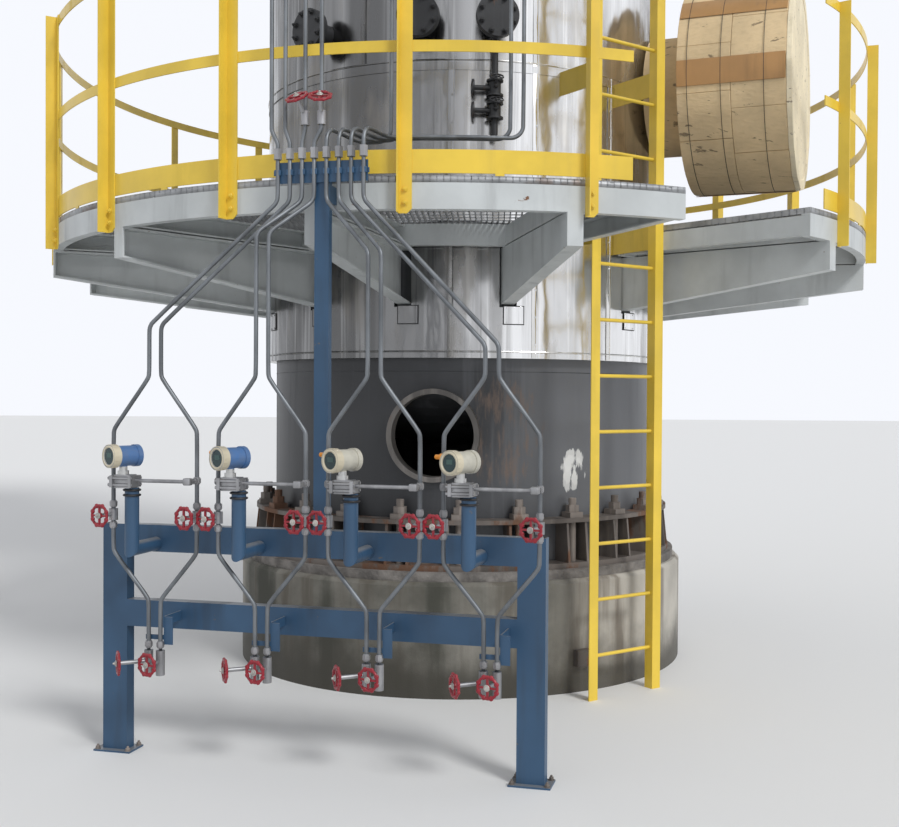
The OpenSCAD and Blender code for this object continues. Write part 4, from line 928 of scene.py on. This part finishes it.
class COLUMN_OT_add_tubing(bpy.types.Operator):
    """Round off the impulse tubes and add their nuts, links and straps"""

    bl_idname = "column.add_tubing"
    bl_label = "Add Tubing"

    def execute(self, context):
        tubes = merged_copy("impulse_tubes")
        altered(tubes, "SUBSURF", levels=1, render_levels=1, use_limit_surface=False)
        settle(smooth(tubes, 75), "round_tubes", "tube_steel", FINISHES["tube_steel"], "impulse_tubes")

        nut = joined(rod(0.0165, 0.020, 6, 0.0, 0.001), rod(0.0135, 0.030, 16, 0.0, 0.001))
        places = []
        for middle in MIDDLES:
            for side in (-1, 1):
                run = middle + side * RUN_HALF
                places += [stand_place(run, TUBE_OUT, VALVE_Z + up) for up in VALVE_NUTS_UP]
                places.append(stand_place(middle + side * PAIR_HALF, TUBE_OUT, TUBE_END_Z + 0.025))
                places.append(stand_place(run, TUBE_OUT, LINK_Z))
        settle(copies(nut, places), "tube_nuts", "valve_steel", FINISHES["valve_steel"])

        reach = HEAD_OUT - TUBE_OUT
        bar = rod(0.008, reach, 16, reach / 2)
        bar.data.transform(frontwards())
        elbow = block((0.034, 0.030, 0.030), (-0.006, -reach, 0), 0.005)
        collar = rod(0.014, 0.018, 6, 0.022, 0.001)
        collar.data.transform(frontwards())
        link = joined(bar, elbow, collar)
        links = [stand_place(middle + RUN_HALF, TUBE_OUT, LINK_Z) for middle in MIDDLES]
        settle(smooth(copies(link, links)), "manifold_links", "valve_steel", FINISHES["valve_steel"])

        strap = joined(block((0.030, 0.012, 0.026), (0, -0.001, 0), 0.003),
                       block((0.046, 0.004, 0.022), (0, 0.011, 0), 0.001))
        straps = [stand_place(RISER_ALONG + (index - 3.5) * CLAMP_PITCH, CLAMP_OUT, CLAMP_Z)
                  for index in range(2 * STATIONS)]
        settle(copies(strap, straps), "tube_straps", "stand_blue", FINISHES["stand_blue"])
        return {"FINISHED"}


class COLUMN_OT_add_instruments(bpy.types.Operator):
    """Add the details of transmitters, handwheels, small valves and stanchions"""

    bl_idname = "column.add_instruments"
    bl_label = "Add Instruments"

    def wheels(self):
        """The middle of each handwheel, with Z along its stem."""
        places = []
        for middle in MIDDLES:
            for side in (-1, 1):
                low_turn, low_stem = (LONG_STEM_TURN, LONG_STEM) if side < 0 else (RUN_STEM_TURN, STEM)
                places.append(stand_place(middle + side * RUN_HALF, TUBE_OUT, VALVE_Z, -RUN_STEM_TURN)
                              @ frontwards() @ Matrix.Translation((0, 0, STEM + HUB / 2)))
                places.append(stand_place(middle + side * PAIR_HALF, TUBE_OUT, DRAIN_Z, -low_turn)
                              @ frontwards() @ Matrix.Translation((0, 0, low_stem + HUB / 2)))
        for along, turn in UPPER_VALVES:
            lean = Matrix.Rotation(math.radians(90 - UPPER_RISE), 4, "X")
            places.append(stand_place(along, CLAMP_OUT, UPPER_Z, turn) @ lean
                          @ Matrix.Translation((0, 0, UPPER_STEM + HUB / 2)))
        return places

    def execute(self, context):
        housings = [stand_place(middle - HOUSING_LEFT, HEAD_OUT, HOUSING_Z, -HOUSING_TURN)
                    for middle in MIDDLES]
        glass = rod(GLASS_R, 0.006, 48, FACE_OUT - 0.006, 0.0015)
        display = block((GLASS_R * 0.9, GLASS_R * 0.55, 0.001),
                        (0, GLASS_R * 0.12, FACE_OUT - 0.0027), 0.0003)
        bezel = hoop(CAP_R - 0.0065, 0.006, FACE_OUT - 0.003, 48, 10)
        cap = wrap(CAP_R + 0.0004, FACE_OUT - CAP_L - 0.012, FACE_OUT + 0.0006, 0.0016, 64)
        rib = block((0.006, 0.004, CAP_L * 0.8), (CAP_R, 0, FACE_OUT - CAP_L / 2), 0.0012)
        ribs = copies(rib, [Matrix.Rotation(math.radians(turn), 4, "Z") for turn in range(0, 360, RIB_TURN)])
        fronts = [place @ frontwards() for place in housings]
        for name, pattern, angle, finish in (
                ("transmitter_glass", glass, 40, "dark_glass"),
                ("transmitter_displays", display, 0, "display"),
                ("transmitter_bezels", bezel, 60, "cream_enamel"),
                ("transmitter_caps", cap, 40, "cream_enamel"),
                ("transmitter_ribs", ribs, 0, "cream_enamel")):
            piece = copies(pattern, fronts)
            settle(smooth(piece, angle) if angle else piece, name, "housing_blue", FINISHES[finish])
        sleeve = joined(rod(GLAND_R + 0.002, 0.040, 16, 0.0, 0.002),
                        rod(GLAND_R + 0.005, 0.014, 6, 0.024, 0.001),
                        rod(GLAND_R - 0.003, 0.030, 16, -0.033, 0.003))
        at_gland = Matrix.Translation((-BARREL_R - GLAND_L * 0.9, 0, BARREL_R * 0.4)) @ outwards()
        settle(smooth(copies(sleeve, [place @ at_gland for place in housings])), "transmitter_glands",
               "safety_yellow", FINISHES["gland_orange"])

        wheels = self.wheels()
        lobe = rod(0.0105, 0.011, 12, 0.0, 0.003)
        around = [Matrix.Rotation(math.radians(360 / LOBES * (index + 0.5)), 4, "Z")
                  @ Matrix.Translation((WHEEL_R - 0.006, 0, 0)) for index in range(LOBES)]
        lobes = copies(lobe, around)
        settle(smooth(copies(lobes, wheels), 50), "wheel_lobes", "wheel_red", FINISHES["wheel_red"])
        nut = joined(rod(0.0085, 0.010, 6, 0.010, 0.001), rod(0.0045, 0.008, 10, 0.018, 0.0008))
        disc = joined(nut, rod(0.0135, 0.004, 24, HUB / 2 + 0.001, 0.001))
        settle(smooth(copies(disc, wheels), 30), "wheel_nuts", "valve_steel", FINISHES["pale_nut"])

        rim = hoop(0.036, 0.0045, 0.0, 32, 8)
        arms = copies(rod(0.0032, 0.066, 8, 0.0),
                      [Matrix.Rotation(math.radians(turn), 4, "Z") @ outwards() for turn in (0, 60, 120)])
        stem = rod(0.006, 0.062, 12, -0.026, 0.001)
        hub = rod(0.010, 0.012, 12, 0.0, 0.002)
        yoke = rod(0.012, 0.020, 6, -0.050, 0.002)
        leg_wheel = joined(rim, arms, stem, hub, yoke)
        lean = Matrix.Rotation(math.radians(LEG_LEAN), 4, "Y") @ Matrix.Translation((0, 0, 0.058))
        valves = [ring_place(NOZZLE_PHIS[-1], LEG_R + 0.85 * LEG_D, height + level) @ lean
                  for height in LEG_VALVES for level in LEVELS]
        settle(smooth(copies(leg_wheel, valves), 50), "leg_wheels", "nozzle_steel", FINISHES["black_iron"])

        clip = joined(hoop(CLIP_R, 0.005, -0.010, 32, 8), hoop(CLIP_R, 0.005, 0.012, 32, 8))
        tops = [stand_place(middle - STANCHION_LEFT, STANCHION_OUT, MANIFOLD_Z - 0.022) for middle in MIDDLES]
        settle(smooth(copies(clip, tops), 60), "stanchion_clips", "nozzle_steel", FINISHES["black_iron"])
        return {"FINISHED"}


class COLUMN_OT_add_bolts(bpy.types.Operator):
    """Bolt the posts, flanges and stand feet and thread the anchors"""

    bl_idname = "column.add_bolts"
    bl_label = "Add Bolts"

    def execute(self, context):
        fit = sizes("fitting_sizes")
        posts = [ring_place(POST_PHI - POST_STEP * index, RING_R + POST_T, DECK_LOW.z - down + level)
                 @ outwards() for index in range(POSTS) for level in LEVELS for down in POST_BOLTS_DOWN]
        settle(copies(bolt(fit.bolt_radius, 0.011), posts), "post_bolts", "safety_yellow",
               FINISHES["safety_yellow"])

        count, ring = NOZZLE_BOLTS
        around = [Matrix.Rotation(math.radians(360 / count * (index + 0.5)), 4, "X")
                  @ Matrix.Translation((0, 0, ring)) @ outwards() for index in range(count)]
        flange = [ring_place(phi, NOZZLE_FACE_R, NOZZLE_Z + level) @ place
                  for phi in NOZZLE_PHIS for level in LEVELS for place in around]
        settle(copies(bolt(0.013, 0.018), flange), "flange_bolts", "nozzle_steel", FINISHES["nozzle_steel"])

        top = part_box("vapour_nozzle")[1].z
        count, ring = VAPOUR_BOLTS
        studs = [Matrix.Rotation(math.radians(360 / count * index), 4, "Z")
                 @ Matrix.Translation((ring, 0, top)) for index in range(count)]
        settle(copies(bolt(0.018, 0.026), studs), "vapour_studs", "nozzle_steel", FINISHES["nozzle_steel"])

        corners = [stand_place(leg + across, out, FOOT_T) for leg in (0.0, STAND_W)
                   for across in FOOT_BOLTS_ALONG for out in FOOT_BOLTS_OUT]
        settle(copies(bolt(0.010, 0.014), corners), "foot_bolts", "bolt_steel", FINISHES["bolt_steel"])

        thread = hoop(BOLT_R + 0.0004, 0.0016, 0.0, 24, 6)
        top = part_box("anchor_bolts")[1].z
        turns = [ring_place(BOLT_START + 360 / BOLTS * index, BOLT_RING, top - 0.006 - THREAD_PITCH * step)
                 for index in range(BOLTS) for step in range(THREADS)]
        settle(smooth(copies(thread, turns), 60), "bolt_threads", "bolt_steel", FINISHES["bolt_steel"])
        return {"FINISHED"}


class COLUMN_OT_add_stage(bpy.types.Operator):
    """Set up floor, world, lamps and camera"""

    bl_idname = "column.add_stage"
    bl_label = "Add Stage"

    def execute(self, context):
        stage = sizes("stage_sizes")
        clear_choice()
        bpy.ops.mesh.primitive_plane_add(size=stage.floor)
        floor = context.object
        floor.name = "floor"
        pale = Finish("pale_floor", 0.8)
        pale.set("Base Color", (0.78, 0.78, 0.77))
        floor.data.materials.append(pale.material)

        world = bpy.data.worlds.new("studio")
        context.scene.world = world
        world.use_nodes = True
        tree = world.node_tree
        background = tree.nodes["Background"]
        background.inputs["Color"].default_value = SKY
        path = tree.nodes.new("ShaderNodeLightPath")
        seen = tree.nodes.new("ShaderNodeMath")
        seen.operation = "MAXIMUM"
        tree.links.new(path.outputs["Is Camera Ray"], seen.inputs[0])
        tree.links.new(path.outputs["Is Glossy Ray"], seen.inputs[1])
        level = tree.nodes.new("ShaderNodeMapRange")
        level.inputs["To Min"].default_value = SKY_LIGHT
        level.inputs["To Max"].default_value = SKY_SEEN
        tree.links.new(seen.outputs[0], level.inputs["Value"])
        tree.links.new(level.outputs["Result"], background.inputs["Strength"])

        bpy.ops.object.light_add(type="SUN", rotation=[math.radians(turn) for turn in SUN_TURN])
        sun = context.object
        sun.data.energy = SUN_POWER
        sun.data.angle = math.radians(SUN_SPREAD)

        bpy.ops.object.camera_add(location=stage.eye)
        camera = context.object
        camera.data.lens = stage.lens
        camera.data.sensor_width = FRAME_WIDTH
        camera.data.shift_x = stage.shift
        camera.data.clip_end = FAR
        level_view = Matrix.Rotation(math.pi / 2 - stage.pitch, 4, "X")
        camera.matrix_world = Matrix.Translation(stage.eye) @ level_view @ Matrix.Rotation(stage.roll, 4, "Z")
        context.scene.camera = camera
        context.scene.view_settings.view_transform = "Standard"
        return {"FINISHED"}


OPERATORS = (
    COLUMN_OT_finish_solids,
    COLUMN_OT_add_gratings,
    COLUMN_OT_add_cladding_seams,
    COLUMN_OT_add_manway_blocks,
    COLUMN_OT_add_tubing,
    COLUMN_OT_add_instruments,
    COLUMN_OT_add_bolts,
    COLUMN_OT_add_stage,
)


class COLUMN_PT_steps(bpy.types.Panel):
    """Lists the steps that finish the column"""

    bl_idname = "COLUMN_PT_steps"
    bl_label = "Distillation Column"
    bl_space_type = "VIEW_3D"
    bl_region_type = "UI"
    bl_category = "Column"

    def draw(self, context):
        for operator in OPERATORS:
            self.layout.operator(operator.bl_idname)
        for group in ("column_colours", "fitting_sizes", "stage_sizes"):
            box = self.layout.box()
            for prop in getattr(context.scene, group).bl_rna.properties:
                if not prop.is_readonly and prop.identifier != "name":
                    box.prop(getattr(context.scene, group), prop.identifier)


CLASSES = (ColumnColours, FittingSizes, StageSizes, *OPERATORS, COLUMN_PT_steps)


def register():
    for kind in CLASSES:
        bpy.utils.register_class(kind)
    bpy.types.Scene.column_colours = PointerProperty(type=ColumnColours)
    bpy.types.Scene.fitting_sizes = PointerProperty(type=FittingSizes)
    bpy.types.Scene.stage_sizes = PointerProperty(type=StageSizes)


def unregister():
    del bpy.types.Scene.stage_sizes
    del bpy.types.Scene.fitting_sizes
    del bpy.types.Scene.column_colours
    for kind in reversed(CLASSES):
        bpy.utils.unregister_class(kind)


def main():
    register()
    bpy.ops.column.finish_solids()
    bpy.ops.column.add_gratings()
    bpy.ops.column.add_cladding_seams()
    bpy.ops.column.add_manway_blocks()
    bpy.ops.column.add_tubing()
    bpy.ops.column.add_instruments()
    bpy.ops.column.add_bolts()
    bpy.ops.column.add_stage()


if __name__ == "__main__":
    main()
